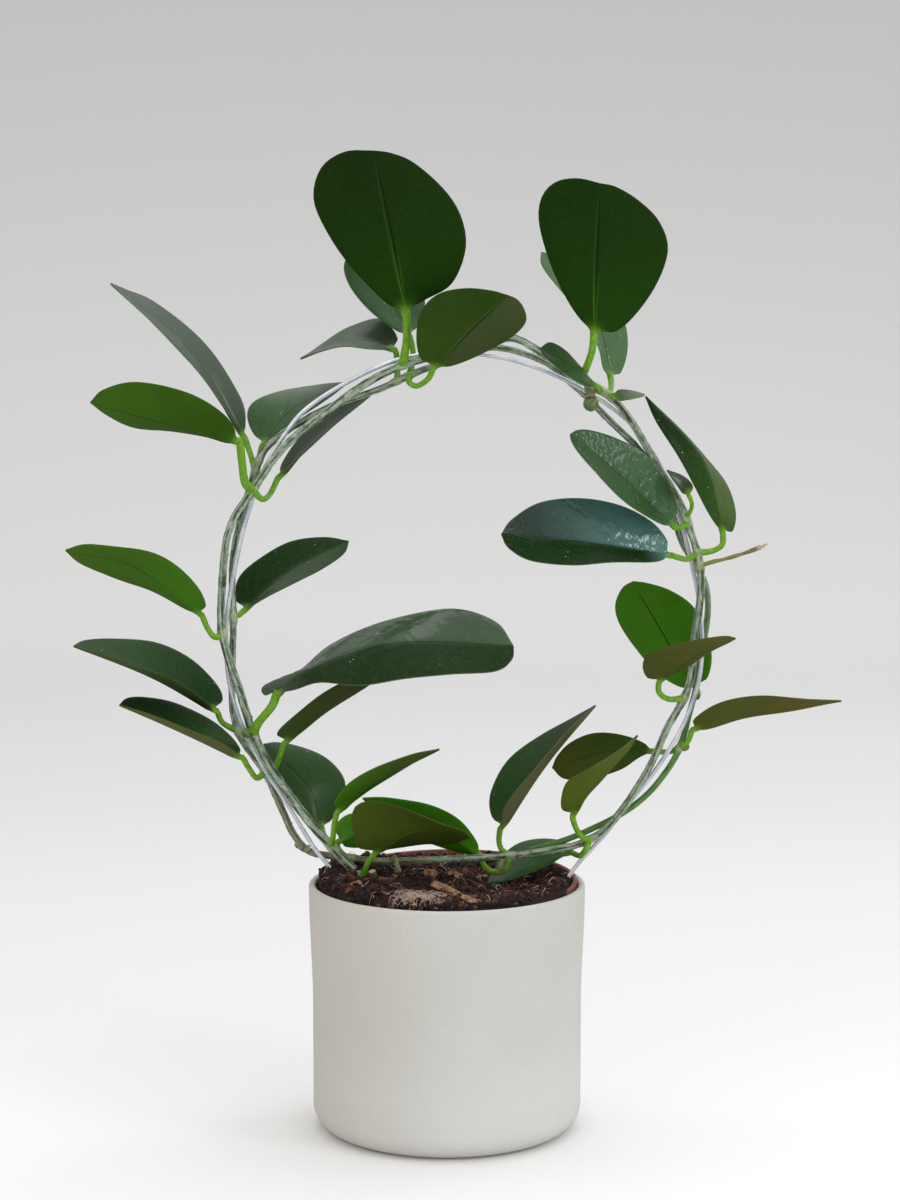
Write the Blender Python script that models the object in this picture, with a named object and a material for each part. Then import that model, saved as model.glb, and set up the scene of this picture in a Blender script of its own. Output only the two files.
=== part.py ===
"""Potted Hoya australis: one vine wound twice round a wire hoop, in a nursery pot inside a cover pot.

Origin at the centre of the cover pot's base, on the surface it stands on. +Z is up, and -Y is the
side that the photograph shows. Lengths are in metres, and MM turns a size in millimetres into them.
"""

import bpy
import math
from mathutils import Vector, noise

MM = 0.001
GAP = 0.3 * MM

# The eye that took the photograph, found from the width and the ellipses of the pot's rim and base.
EYE = Vector((1.5, -1300.0, 404.0)) * MM
PITCH = math.radians(6.26)
FOCAL_PX = 2686.0
PICTURE_CENTRE = (450.0, 600.0)

# Pots
ROUND_SIDES = 48
COVER_HEIGHT = 122.0 * MM
COVER_RIM_RADIUS = 68.0 * MM
COVER_BODY_RADIUS = 66.2 * MM
COVER_WALL = 3.5 * MM
COVER_FLOOR = 6.0 * MM
COVER_CORNER = 12.0 * MM
NURSERY_OFFSET = 2.8 * MM
NURSERY_TOP = 124.0 * MM
NURSERY_TOP_RADIUS = 60.3 * MM
NURSERY_FOOT_RADIUS = 44.0 * MM
NURSERY_WALL = 1.0 * MM
NURSERY_FOOT = 7.7 * MM
NURSERY_LEAN = math.radians(1.7)
NURSERY_LIP = 1.0 * MM
NURSERY_LIP_DEPTH = 5.0 * MM
DRAIN_HOLE_RADIUS = 3.5 * MM
DRAIN_RING_RADIUS = 30.0 * MM
DRAIN_HOLES = 8

# Growing parts
WIRE_RADIUS = 1.1 * MM
VINE_BASE_RADIUS = 2.25 * MM
VINE_OLD_RADIUS = 1.8 * MM
VINE_YOUNG_RADIUS = 1.4 * MM
VINE_LEAN = 4.4 * MM
VINE_LEAST_DEPTH = 2.7 * MM
NODE_SWELLING = 0.5 * MM
NODE_LENGTH = 3.0 * MM
LEAF_THICKNESS = 1.2 * MM
LEAF_EDGE_THICKNESS = 0.8 * MM
STALK_STEP = 0.25 * MM
OUTLINE_STEP = 0.5 * MM
STALK_RING_SPACING = 4.5 * MM


def clear_scene():
    for item in list(bpy.data.objects):
        bpy.data.objects.remove(item, do_unlink=True)


def seen(across, down, depth):
    """Point that the picture shows at a pixel, depth millimetres behind the hoop's plane."""
    right = (across - PICTURE_CENTRE[0]) / FOCAL_PX
    up = (PICTURE_CENTRE[1] - down) / FOCAL_PX
    ray = Vector((right, math.cos(PITCH) + up * math.sin(PITCH), up * math.cos(PITCH) - math.sin(PITCH)))
    return EYE + ray * ((depth * MM - EYE.y) / ray.y)


def finish_material(name, colour, roughness, metallic=0.0):
    material = bpy.data.materials.new(name)
    material.use_nodes = True
    shader = material.node_tree.nodes["Principled BSDF"]
    shader.inputs["Base Color"].default_value = (*colour, 1.0)
    shader.inputs["Roughness"].default_value = roughness
    shader.inputs["Metallic"].default_value = metallic
    return material


def add_object(name, points, faces, material, sharp_degrees=40):
    """One named solid from its points and faces, with round stretches shaded smooth."""
    mesh = bpy.data.meshes.new(name)
    mesh.from_pydata([tuple(point) for point in points], [], faces)
    mesh.materials.append(material)
    mesh.shade_smooth()
    mesh.set_sharp_from_angle(angle=math.radians(sharp_degrees))
    item = bpy.data.objects.new(name, mesh)
    bpy.context.collection.objects.link(item)
    return item


def smooth_route(points, spacing):
    """Even points along a smooth curve that passes through every given point."""
    ends = [points[0] * 2 - points[1]] + list(points) + [points[-1] * 2 - points[-2]]
    fine = []
    steps = 12
    for before, start, end, after in zip(ends, ends[1:], ends[2:], ends[3:]):
        for step in range(steps):
            t = step / steps
            fine.append(0.5 * (2 * start + (end - before) * t
                               + (2 * before - 5 * start + 4 * end - after) * t * t
                               + (3 * start - before - 3 * end + after) * t * t * t))
    fine.append(points[-1].copy())
    lengths = [0.0]
    for start, end in zip(fine, fine[1:]):
        lengths.append(lengths[-1] + (end - start).length)
    count = max(2, round(lengths[-1] / spacing))
    even = []
    place = 0
    for index in range(count + 1):
        target = lengths[-1] * index / count
        while place < len(fine) - 2 and lengths[place + 1] < target:
            place += 1
        share = (target - lengths[place]) / max(lengths[place + 1] - lengths[place], 1e-9)
        even.append(fine[place].lerp(fine[place + 1], min(max(share, 0.0), 1.0)))
    return even


def directions(route):
    """Unit direction of a route at each of its points."""
    result = []
    for index in range(len(route)):
        ahead = route[min(index + 1, len(route) - 1)]
        behind = route[max(index - 1, 0)]
        result.append((ahead - behind).normalized())
    return result


def tube(route, radii, sides):
    """Points and faces of a closed round tube along a route."""
    headings = directions(route)
    side = headings[0].orthogonal().normalized()
    points = []
    faces = []
    for centre, heading, radius in zip(route, headings, radii):
        side = (side - heading * side.dot(heading)).normalized()
        other = heading.cross(side)
        for index in range(sides):
            angle = 2 * math.pi * index / sides
            points.append(centre + (side * math.cos(angle) + other * math.sin(angle)) * radius)
    for ring in range(len(route) - 1):
        for index in range(sides):
            following = (index + 1) % sides
            low = ring * sides
            high = low + sides
            faces.append((low + index, low + following, high + following, high + index))
    faces.append(tuple(reversed(range(sides))))
    faces.append(tuple(range((len(route) - 1) * sides, len(route) * sides)))
    return points, faces


def turned(profile, centre=0.0):
    """Points and faces turned round the upright axis; a profile runs from axis to axis."""
    points = []
    rings = []
    for radius, height in profile:
        if radius == 0:
            rings.append([len(points)])
            points.append((centre, 0.0, height))
            continue
        rings.append([len(points) + index for index in range(ROUND_SIDES)])
        for index in range(ROUND_SIDES):
            angle = 2 * math.pi * index / ROUND_SIDES
            points.append((centre + radius * math.cos(angle), radius * math.sin(angle), height))
    faces = []
    for lower, upper in zip(rings, rings[1:]):
        for index in range(ROUND_SIDES):
            following = (index + 1) % ROUND_SIDES
            if len(lower) == 1:
                faces.append((lower[0], upper[following], upper[index]))
            elif len(upper) == 1:
                faces.append((lower[index], lower[following], upper[0]))
            else:
                faces.append((lower[index], lower[following], upper[following], upper[index]))
    return points, faces


def arc(centre, radius, start_degrees, end_degrees, steps):
    """Points of a profile along an arc, as radius and height pairs."""
    result = []
    for step in range(steps + 1):
        angle = math.radians(start_degrees + (end_degrees - start_degrees) * step / steps)
        result.append((centre[0] + radius * math.cos(angle), centre[1] + radius * math.sin(angle)))
    return result


def make_cover_pot():
    """Straight-sided matt stoneware pot with a small flare and a round lip at its rim."""
    lip = COVER_WALL / 2
    inner_corner = COVER_CORNER
    inner_radius = COVER_BODY_RADIUS - COVER_WALL
    profile = [(0, 0)]
    profile += arc((COVER_BODY_RADIUS - COVER_CORNER, COVER_CORNER), COVER_CORNER, -90, 0, 6)
    profile.append((COVER_BODY_RADIUS, COVER_HEIGHT * 0.55))
    profile.append((COVER_BODY_RADIUS + 0.5 * MM, COVER_HEIGHT * 0.78))
    profile += arc((COVER_RIM_RADIUS - lip, COVER_HEIGHT - lip), lip, 0, 180, 6)
    profile.append((inner_radius + 0.5 * MM, COVER_HEIGHT * 0.78))
    profile.append((inner_radius, COVER_HEIGHT * 0.55))
    floor_corner = arc((inner_radius - inner_corner, COVER_FLOOR + inner_corner), inner_corner, 0, -90, 4)
    profile += floor_corner
    profile.append((0, COVER_FLOOR))
    points, faces = turned(profile)
    add_object("cover_pot", points, faces, finish_material("stoneware", (0.56, 0.56, 0.52), 0.6))


def leaned(point):
    """Where a point of the nursery pot lies once the pot leans forward, its rim's middle in place."""
    across, depth, height = point
    under = NURSERY_TOP - height
    return Vector((across, depth * math.cos(NURSERY_LEAN) + under * math.sin(NURSERY_LEAN),
                   NURSERY_TOP + depth * math.sin(NURSERY_LEAN) - under * math.cos(NURSERY_LEAN)))


def nursery_inner_radius(height):
    """Radius of the nursery pot's inner face, which tapers to its foot."""
    foot = NURSERY_FOOT_RADIUS - NURSERY_WALL
    top = NURSERY_TOP_RADIUS - NURSERY_WALL
    return foot + (top - foot) * (height - NURSERY_FOOT) / (NURSERY_TOP - NURSERY_FOOT)


def cutter_for(item, name, points, faces):
    """Hidden solid that is taken out of an object by a Boolean modifier."""
    mesh = bpy.data.meshes.new(name)
    mesh.from_pydata([tuple(point) for point in points], [], faces)
    cutter = bpy.data.objects.new(name, mesh)
    bpy.context.collection.objects.link(cutter)
    cutter.hide_render = True
    cutter.display_type = "WIRE"
    modifier = item.modifiers.new(name, "BOOLEAN")
    modifier.operation = "DIFFERENCE"
    modifier.solver = "EXACT"
    modifier.object = cutter


def make_nursery_pot():
    """Thin red-brown plastic pot with a thick lip and drain holes, standing in the cover pot."""
    foot = NURSERY_FOOT
    lip_radius = NURSERY_TOP_RADIUS + NURSERY_LIP
    lip_foot = NURSERY_TOP - NURSERY_LIP_DEPTH
    profile = [(0, foot), (NURSERY_FOOT_RADIUS, foot)]
    profile.append((nursery_inner_radius(lip_foot) + NURSERY_WALL, lip_foot))
    profile.append((lip_radius, lip_foot))
    profile += arc((lip_radius - 0.8 * MM, NURSERY_TOP - 0.8 * MM), 0.8 * MM, 0, 90, 3)
    profile.append((nursery_inner_radius(NURSERY_TOP) + 0.2 * MM, NURSERY_TOP))
    profile.append((nursery_inner_radius(lip_foot), lip_foot))
    profile.append((nursery_inner_radius(foot + NURSERY_WALL), foot + NURSERY_WALL))
    profile.append((0, foot + NURSERY_WALL))
    points, faces = turned(profile, NURSERY_OFFSET)
    points = [leaned(point) for point in points]
    pot = add_object("nursery_pot", points, faces, finish_material("red_plastic", (0.19, 0.05, 0.045), 0.5))
    for index in range(DRAIN_HOLES):
        angle = 2 * math.pi * (index + 0.5) / DRAIN_HOLES
        centre = Vector((NURSERY_OFFSET, 0, 0))
        centre += Vector((math.cos(angle), math.sin(angle), 0)) * DRAIN_RING_RADIUS
        low = centre + Vector((0, 0, foot - 2 * MM))
        high = centre + Vector((0, 0, foot + NURSERY_WALL + 2 * MM))
        points, faces = tube([leaned(low), leaned(high)], [DRAIN_HOLE_RADIUS] * 2, 10)
        cutter_for(pot, f"drain_cutter_{index + 1}", points, faces)


# Route of the wire through the picture, from its left end in the mix to its right end.
WIRE_SEEN = [
    (347, 930), (343, 905), (339, 884), (331, 869), (319, 855), (300, 825), (283, 797), (268, 775),
    (250, 742), (238, 715), (229, 680), (226, 643), (228, 607), (238, 553), (246, 520), (262, 474),
    (281, 440), (304, 411), (344, 384), (391, 362), (435, 353), (476, 354), (516, 361), (557, 376),
    (592, 395), (624, 417), (645, 442), (662, 470), (677, 508), (690, 556), (699, 600), (702, 640),
    (699, 680), (686, 719), (670, 748), (655, 771), (642, 787), (629, 803), (610, 828), (595, 845),
    (585, 857), (575, 867), (567, 880), (562, 900), (557, 925)]


def wire_route():
    return smooth_route([seen(across, down, 0) for across, down in WIRE_SEEN], 11 * MM)


def make_wire_hoop(route):
    points, faces = tube(route, [WIRE_RADIUS] * len(route), 6)
    steel = finish_material("wire", (0.75, 0.77, 0.8), 0.25, 1.0)
    add_object("wire_hoop", points, faces, steel)


# Route of the vine through the picture: up out of the mix and once round on the near side of the
# wire, along the pot's top at given depths, then once round on the far side to its young end.
ROOTED = [(378, 918, -6.5), (372, 900, -6.2), (366, 888, -5.8), (360, 877, -5.2), (345, 862, -4.7)]
FIRST_LAP = [
    (330, 845), (313, 826), (297, 806), (284, 788), (272, 770), (262, 752), (254, 735), (247, 715),
    (240, 692), (230, 662), (222, 632), (221, 605), (223, 575), (226, 542), (236, 514), (253, 490),
    (270, 464), (286, 445), (304, 429), (324, 414), (350, 394), (377, 377), (400, 366), (430, 357),
    (460, 349), (490, 343), (513, 338), (539, 351), (560, 366), (583, 382), (606, 393), (626, 414),
    (642, 439), (665, 478), (681, 505), (693, 540), (700, 562), (701, 585), (699, 610), (694, 640),
    (692, 672), (684, 698), (668, 726), (651, 764), (629, 800), (612, 822), (589, 841)]
ACROSS_THE_POT = [
    (572, 846, -4.2), (542, 851, -3), (510, 856, -1), (470, 858, 1), (435, 860, 2.6), (400, 861, 3.4),
    (372, 861, 3.8), (349, 858, 3.8), (325, 855, 3.6), (307, 850, 3.4)]
SECOND_LAP = [
    (296, 838), (286, 818), (277, 798), (266, 773), (254, 757), (241, 738), (233, 712), (232, 680),
    (233, 640), (233, 605), (232, 570), (236, 540), (244, 508), (256, 469), (266, 448), (284, 433),
    (306, 419), (334, 405), (366, 394), (392, 384), (409, 375), (440, 364), (470, 353), (495, 347),
    (527, 355), (547, 363), (566, 379), (588, 398), (609, 420), (634, 444), (655, 472), (670, 506),
    (682, 542), (696, 566), (707, 590), (707, 620), (702, 650), (697, 684), (688, 718), (680, 748),
    (668, 768), (657, 784), (642, 799), (623, 813), (604, 823), (585, 832), (565, 840), (546, 846)]
YOUNG_END = [(530, 850, 5.5)]
FIRST_LAP_SIDE = -1
SECOND_LAP_SIDE = 1


def beside_wire(spots, side, wire):
    """Points of one lap, leaning on the near or the far side of the wire."""
    result = []
    for across, down in spots:
        flat = seen(across, down, 0)
        apart = min((flat - point).length for point in smooth_route(wire, 2 * MM))
        depth = math.sqrt(max(VINE_LEAN ** 2 - apart ** 2, 0.0))
        result.append(seen(across, down, side * max(depth, VINE_LEAST_DEPTH) / MM))
    return result


def vine_points(wire):
    points = [seen(*spot) for spot in ROOTED]
    points += beside_wire(FIRST_LAP, FIRST_LAP_SIDE, wire)
    points += [seen(*spot) for spot in ACROSS_THE_POT]
    points += beside_wire(SECOND_LAP, SECOND_LAP_SIDE, wire)
    points += [seen(*spot) for spot in YOUNG_END]
    return points


# Swollen nodes of the vine, as the picture shows them, with the lap that each is on.
NODES = {
    "foot": (1, 361, 879), "low_left": (1, 331, 846), "left": (1, 222, 634), "shoulder": (1, 253, 490),
    "crown": (1, 404, 365), "crest": (1, 579, 380), "twin": (1, 600, 390), "twin_right": (1, 611, 398),
    "upper_right": (1, 687, 523), "bud": (1, 685, 515), "right": (1, 698, 553), "stalk": (1, 701, 566),
    "lower_right": (1, 684, 698), "rim_right": (1, 589, 841), "middle": (1, 510, 856),
    "rim_left": (1, 350, 858), "thick": (1, 252, 731), "knee": (2, 266, 773), "low_bend": (2, 238, 733),
    "left_far": (2, 233, 617), "fork": (2, 254, 472), "fork_right": (2, 260, 462),
    "crown_far": (2, 409, 375), "last": (2, 680, 748), "crown_back": (2, 397, 382),
    "crest_far": (1, 607, 394)}


def at_place(route, place):
    """Point of a route at a place counted in its steps."""
    index = min(int(place), len(route) - 2)
    return route[index].lerp(route[index + 1], place - index)


def nearest_place(route, target):
    """Place on a route nearest to a point, counted in its steps and tenths of them."""
    tenths = [index / 10 for index in range(10 * len(route) - 9)]
    return min(tenths, key=lambda place: (at_place(route, place) - target).length)


def node_places(route):
    """Where each swollen node lies on the vine, counted in steps of its route."""
    second_lap_start = len(route) // 2
    places = {}
    for name, (lap, across, down) in NODES.items():
        target = seen(across, down, 0)
        start = second_lap_start if lap == 2 else 0
        stretch = route[start:] if lap == 2 else route[:second_lap_start + len(route) // 10]
        places[name] = start + nearest_place(stretch, target)
    return places


def vine_radii(route, places):
    """Radius along the vine: thick at its foot, thin at its young end, swollen at each node."""
    spacing = (route[1] - route[0]).length
    last = len(route) - 1
    radii = []
    for index in range(len(route)):
        share = index / last
        if share < 0.12:
            radius = VINE_BASE_RADIUS + (VINE_OLD_RADIUS - VINE_BASE_RADIUS) * share / 0.12
        else:
            radius = VINE_OLD_RADIUS + (VINE_YOUNG_RADIUS - VINE_OLD_RADIUS) * (share - 0.12) / 0.88
        nearest = min(abs(index - place) for place in places.values()) * spacing
        radii.append(radius + NODE_SWELLING * math.exp(-(nearest / NODE_LENGTH) ** 2))
    return radii


def make_vine(route, radii):
    points, faces = tube(route, radii, 6)
    bark = finish_material("stem_bark", (0.34, 0.4, 0.3), 0.6)
    add_object("vine_stem", points, faces, bark)


def clear_of_vine(centre, heading, radius, vine):
    """Whether the end of a stalk lies clear of the vine by the gap that touching pieces keep."""
    side = heading.orthogonal().normalized()
    other = heading.cross(side)
    ring = [centre]
    for index in range(8):
        angle = 2 * math.pi * index / 8
        ring.append(centre + (side * math.cos(angle) + other * math.sin(angle)) * radius)
    for (start, start_radius), (end, end_radius) in zip(vine, vine[1:]):
        if (start - centre).length > 12 * MM:
            continue
        for point in ring:
            along = (point - start).dot(end - start) / max((end - start).length_squared, 1e-12)
            nearest = start.lerp(end, min(max(along, 0.0), 1.0))
            if (point - nearest).length < max(start_radius, end_radius) + GAP:
                return False
    return True


def seated_stalk(spots, node_point, radius, vine):
    """Route of a leaf stalk from its blade to its seat on the vine."""
    fine = smooth_route(spots + [node_point], STALK_STEP)
    headings = directions(fine)
    kept = len(fine)
    for index, (centre, heading) in enumerate(zip(fine, headings)):
        if not clear_of_vine(centre, heading, radius, vine):
            kept = index
            break
    return fine[:max(kept, 2)]


def thinned(fine):
    """Indexes of a fine stalk route at which its rings stand, its two ends among them."""
    pieces = max(1, round(len(fine) * STALK_STEP / STALK_RING_SPACING))
    return [round((len(fine) - 1) * index / pieces) for index in range(pieces + 1)]


def along(route, share):
    """Point at a share of the length of a route whose points are even."""
    return at_place(route, share * (len(route) - 1))


def edge_route(midrib, ends, bulge, spots):
    """Edge of a blade from base to tip, at most bulge millimetres behind its midrib."""
    outline = [Vector(ends[0][:2])] + [Vector(spot) for spot in spots] + [Vector(ends[1][:2])]
    lengths = [0.0]
    for start, end in zip(outline, outline[1:]):
        lengths.append(lengths[-1] + (end - start).length)
    points = []
    for spot, length in zip(outline, lengths):
        share = length / lengths[-1]
        depth = along(midrib, share).y / MM + bulge * max(math.sin(math.pi * share), 0.0) ** 0.6
        points.append(seen(spot.x, spot.y, depth))
    return smooth_route(points, OUTLINE_STEP)


BLADE_SHARES = (0.04, 0.12, 0.24, 0.37, 0.5, 0.63, 0.75, 0.86, 0.95, 0.996)
BLADE_ACROSS = (-1.0, -0.5, 0.0, 0.5, 1.0)


def blade_sheet(leaf):
    """Rows of points of a blade's middle sheet, from base to tip and from one edge to the other."""
    midrib = smooth_route([seen(*spot) for spot in leaf["midrib"]], OUTLINE_STEP)
    ends = (leaf["midrib"][0], leaf["midrib"][-1])
    edges = [edge_route(midrib, ends, bulge, spots) for bulge, spots in leaf["edges"]]
    rows = []
    for share in BLADE_SHARES:
        foot = along(midrib, share)
        reach = [along(edge, share) - foot for edge in edges]
        row = []
        for across in BLADE_ACROSS:
            straight = reach[0 if across < 0 else 1] * abs(across)
            bowed = (reach[1] - reach[0]) * (across / 2) + (reach[0] + reach[1]) * (across * across / 2)
            row.append(foot + bowed.lerp(straight, leaf["fold"]))
        rows.append(row)
    return rows


def sheet_normals(rows):
    """Unit normals of a sheet."""
    normals = []
    for row_index, row in enumerate(rows):
        below = rows[max(row_index - 1, 0)]
        above = rows[min(row_index + 1, len(rows) - 1)]
        line = []
        for index in range(len(row)):
            along = above[index] - below[index]
            across = row[min(index + 1, len(row) - 1)] - row[max(index - 1, 0)]
            line.append(across.cross(along).normalized())
        normals.append(line)
    return normals


def stalk_ring(centre, heading, across_hint, radius, count):
    """Ring of a stalk, its points in the same order as those of a blade's section."""
    side = (across_hint - heading * across_hint.dot(heading)).normalized()
    top = side.cross(heading)
    ring = []
    for index in range(count):
        angle = math.pi - 2 * math.pi * (index + 0.5) / count
        ring.append(centre + (side * math.cos(angle) + top * math.sin(angle)) * radius)
    return ring


def leaf_solid(leaf, node_point, vine):
    """Points and faces of one leaf: a round stalk that opens into a thick blade."""
    rows = blade_sheet(leaf)
    normals = sheet_normals(rows)
    widths = len(BLADE_ACROSS)
    across_hint = rows[0][-1] - rows[0][0]
    spots = [seen(*spot) for spot in [leaf["midrib"][0]] + leaf["stalk"]]
    fine = seated_stalk(spots, node_point, leaf["stalk_radius"], vine)
    headings = directions(fine)
    sections = []
    for index in reversed(thinned(fine)):
        heading = -headings[index]
        sections.append(stalk_ring(fine[index], heading, across_hint, leaf["stalk_radius"], 2 * widths))
    for row, line in zip(rows, normals):
        upper = []
        lower = []
        for across, point, normal in zip(BLADE_ACROSS, row, line):
            depth = LEAF_THICKNESS + (LEAF_EDGE_THICKNESS - LEAF_THICKNESS) * abs(across)
            upper.append(point + normal * depth / 2)
            lower.append(point - normal * depth / 2)
        sections.append(upper + list(reversed(lower)))
    return stitched(sections, widths)


def stitched(sections, widths):
    """Closed skin over sections of equal count, with the same diagonals on both faces of a blade."""
    count = 2 * widths
    points = [point for section in sections for point in section]
    faces = []
    for section in range(len(sections) - 1):
        low = section * count
        high = low + count
        for index in range(count):
            following = (index + 1) % count
            a, b = low + index, low + following
            c, d = high + following, high + index
            if index < widths:
                faces += [(a, b, d), (b, c, d)]
            else:
                faces += [(a, b, c), (a, c, d)]
    last = (len(sections) - 1) * count
    for index in range(widths - 1):
        mirror = count - 1 - index
        faces.append((mirror, mirror - 1, index + 1, index))
        faces.append((last + index, last + index + 1, last + mirror - 1, last + mirror))
    return points, faces


LEAVES = {}


def leaf(name, node, stalk, midrib, edges, fold=0.4, stalk_radius=1.3):
    """Notes one leaf: its stalk and midrib as pixel across, pixel down and depth in mm behind the
    hoop, and each edge as how far it lies behind the midrib in mm and its pixels, base to tip."""
    LEAVES[name] = dict(node=node, stalk=stalk, midrib=midrib, edges=edges, fold=fold,
                        stalk_radius=stalk_radius * MM)


# Leaves at the upper left, from the nodes on the hoop's shoulder.
leaf("leaf_01", "fork", [(250, 453, 7)], [(245, 438, 8), (187, 348, 13), (110, 283, 12)],
     [(-15, [(224, 408), (200, 374), (175, 346), (150, 321), (128, 300)]),
      (17, [(245, 410), (236, 388), (216, 356), (190, 329), (152, 300), (128, 290)])], fold=0.6)
leaf("leaf_02", "shoulder", [(242, 462, -10), (245, 482, -9)],
     [(240, 441, -10), (165, 422, -17), (90, 402, -20)],
     [(-13, [(226, 416), (190, 393), (137, 382), (104, 389)]),
      (20, [(228, 443), (205, 436), (175, 432), (135, 428), (105, 414)])], fold=0.6, stalk_radius=1.7)
leaf("leaf_03", "fork_right", [(259, 458, 8)], [(262, 446, 10), (292, 410, 17), (349, 382, 20)],
     [(13, [(250, 428), (247, 412), (256, 400), (285, 390), (320, 384)]),
      (-5, [(281, 432), (305, 414), (332, 396)])])
leaf("leaf_04", "shoulder", [(270, 494, 5), (262, 499, -5)],
     [(278, 478, 9), (316, 437, 12), (372, 394, 16)],
     [(14, [(284, 459), (310, 426), (345, 401)]), (-14, [(294, 463), (325, 433), (352, 411)])], fold=0.8)

# Leaves on the crown of the hoop.
leaf("leaf_05", "crown", [(407, 335, -9), (405, 352, -8)],
     [(406, 313, -8), (391, 235, -16), (373, 150, -20)],
     [(4, [(385, 302), (345, 260), (320, 220), (313, 193), (322, 166), (345, 151)]),
      (6, [(425, 300), (452, 284), (466, 250), (462, 218), (445, 190), (415, 163), (392, 153)])],
     fold=0.3, stalk_radius=1.7)
leaf("leaf_06", "crown_far", [(413, 353, 9)], [(410, 337, 11), (384, 290, 22), (355, 247, 26)],
     [(-8, [(395, 330), (370, 311), (352, 291), (344, 272), (346, 258)]),
      (12, [(420, 322), (425, 300), (412, 275), (385, 255)])])
leaf("leaf_07", "crown_back", [(397, 361, 10)], [(396, 350, 9), (352, 340, 14), (300, 359, 14)],
     [(15, [(397, 336), (380, 318), (350, 326), (325, 342), (312, 351)]),
      (-12, [(372, 349), (345, 347), (318, 352)])], fold=0.5)
leaf("leaf_08", "crown_far", [(428, 379, -8), (417, 386, -6), (409, 382, -4)],
     [(433, 369, -9), (470, 330, -17), (508, 295, -20)],
     [(-8, [(420, 358), (416, 335), (421, 311), (438, 294), (465, 288), (490, 290)]),
      (6, [(455, 365), (485, 353), (512, 337), (526, 322), (524, 308), (517, 299)])], fold=0.5)
leaf("leaf_09", "crest", [(592, 351, -10), (586, 368, -8)],
     [(594, 335, -9), (596, 265, -16), (600, 183, -20)],
     [(4, [(572, 308), (551, 267), (539, 225), (541, 198), (555, 182), (577, 178)]),
      (6, [(622, 328), (652, 293), (668, 252), (660, 222), (640, 201), (617, 187)])],
     fold=0.3, stalk_radius=1.6)
leaf("leaf_10", "crest_far", [(611, 388, 6)], [(611, 379, 11), (595, 318, 20), (541, 252, 24)],
     [(-7, [(603, 368), (599, 348), (585, 322), (560, 290), (542, 266)]),
      (10, [(622, 371), (628, 345), (622, 315), (600, 280), (565, 256)])])
leaf("leaf_11", "twin", [], [(599, 388, -11), (569, 365, -15), (540, 348, -14)],
     [(4, [(592, 381), (578, 363), (564, 349), (550, 342)]),
      (-6, [(586, 386), (565, 375), (551, 362), (543, 355)])], fold=0.5)
leaf("leaf_12", "twin_right", [], [(611, 395, -9), (627, 395, -13), (645, 395, -15)],
     [(-5, [(617, 390), (627, 390), (638, 392)]), (4, [(615, 401), (622, 401), (632, 399), (641, 397)])],
     fold=0.5, stalk_radius=1.0)

# Leaves down the right side.
leaf("leaf_13", "upper_right", [(680, 528, -8)], [(675, 527, -10), (620, 475, -18), (570, 434, -24)],
     [(8, [(677, 505), (666, 481), (645, 454), (617, 438), (590, 430), (577, 430)]),
      (-10, [(658, 523), (630, 506), (605, 483), (583, 459), (572, 443)])], fold=0.5)
leaf("leaf_14", "right", [(722, 545, 0), (712, 551, -2)],
     [(723, 534, 2), (701, 457, 2), (645, 396, 2)],
     [(-7, [(710, 516), (694, 486), (675, 452), (655, 420)]),
      (16, [(733, 531), (736, 512), (727, 485), (707, 459), (678, 428)])], fold=0.7)
leaf("leaf_15", "bud", [(692, 505, -10), (690, 512, -8)], [(690, 497, -11), (682, 483, -12), (667, 470, -12)],
     [(4, [(695, 491), (690, 481), (679, 474)]), (-5, [(684, 495), (677, 486), (671, 477)])],
     stalk_radius=1.1)
leaf("leaf_16", "right", [(680, 558, -10), (688, 559, -8)],
     [(671, 555, -10), (587, 543, -24), (501, 534, -32)],
     [(12, [(666, 538), (650, 520), (620, 505), (580, 498), (540, 502), (512, 519)]),
      (-17, [(655, 562), (610, 563), (570, 565), (530, 561), (508, 548)])], fold=0.5)
leaf("leaf_17", "lower_right", [(697, 696, 5)], [(697, 689, 9), (668, 640, 18), (633, 581, 20)],
     [(-7, [(708, 677), (712, 655), (706, 631), (693, 606), (670, 590), (648, 583)]),
      (12, [(680, 687), (658, 674), (640, 655), (621, 627), (615, 606), (622, 588)])])
leaf("leaf_18", "lower_right", [(659, 692, -11), (668, 699, -9)],
     [(659, 681, -10), (690, 657, -17), (736, 638, -17)],
     [(-10, [(650, 680), (644, 673), (643, 662), (651, 652), (680, 643), (722, 636)]),
      (7, [(667, 677), (692, 664), (715, 649), (729, 642)])], fold=0.5)
leaf("leaf_19", "last", [(688, 741, 0)], [(692, 730, 0), (757, 703, -3), (842, 701, 0)],
     [(-16, [(695, 718), (720, 702), (755, 696), (800, 699)]),
      (15, [(708, 729), (740, 720), (780, 713), (818, 706)])], fold=0.6)
leaf("leaf_20", "last", [(664, 752, 9), (672, 751, 8)], [(655, 751, 8), (604, 750, 8), (552, 768, 6)],
     [(-9, [(640, 741), (615, 733), (592, 733), (570, 743), (557, 756)]),
      (10, [(640, 757), (620, 770), (595, 778), (565, 779)])], fold=0.5)

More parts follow.
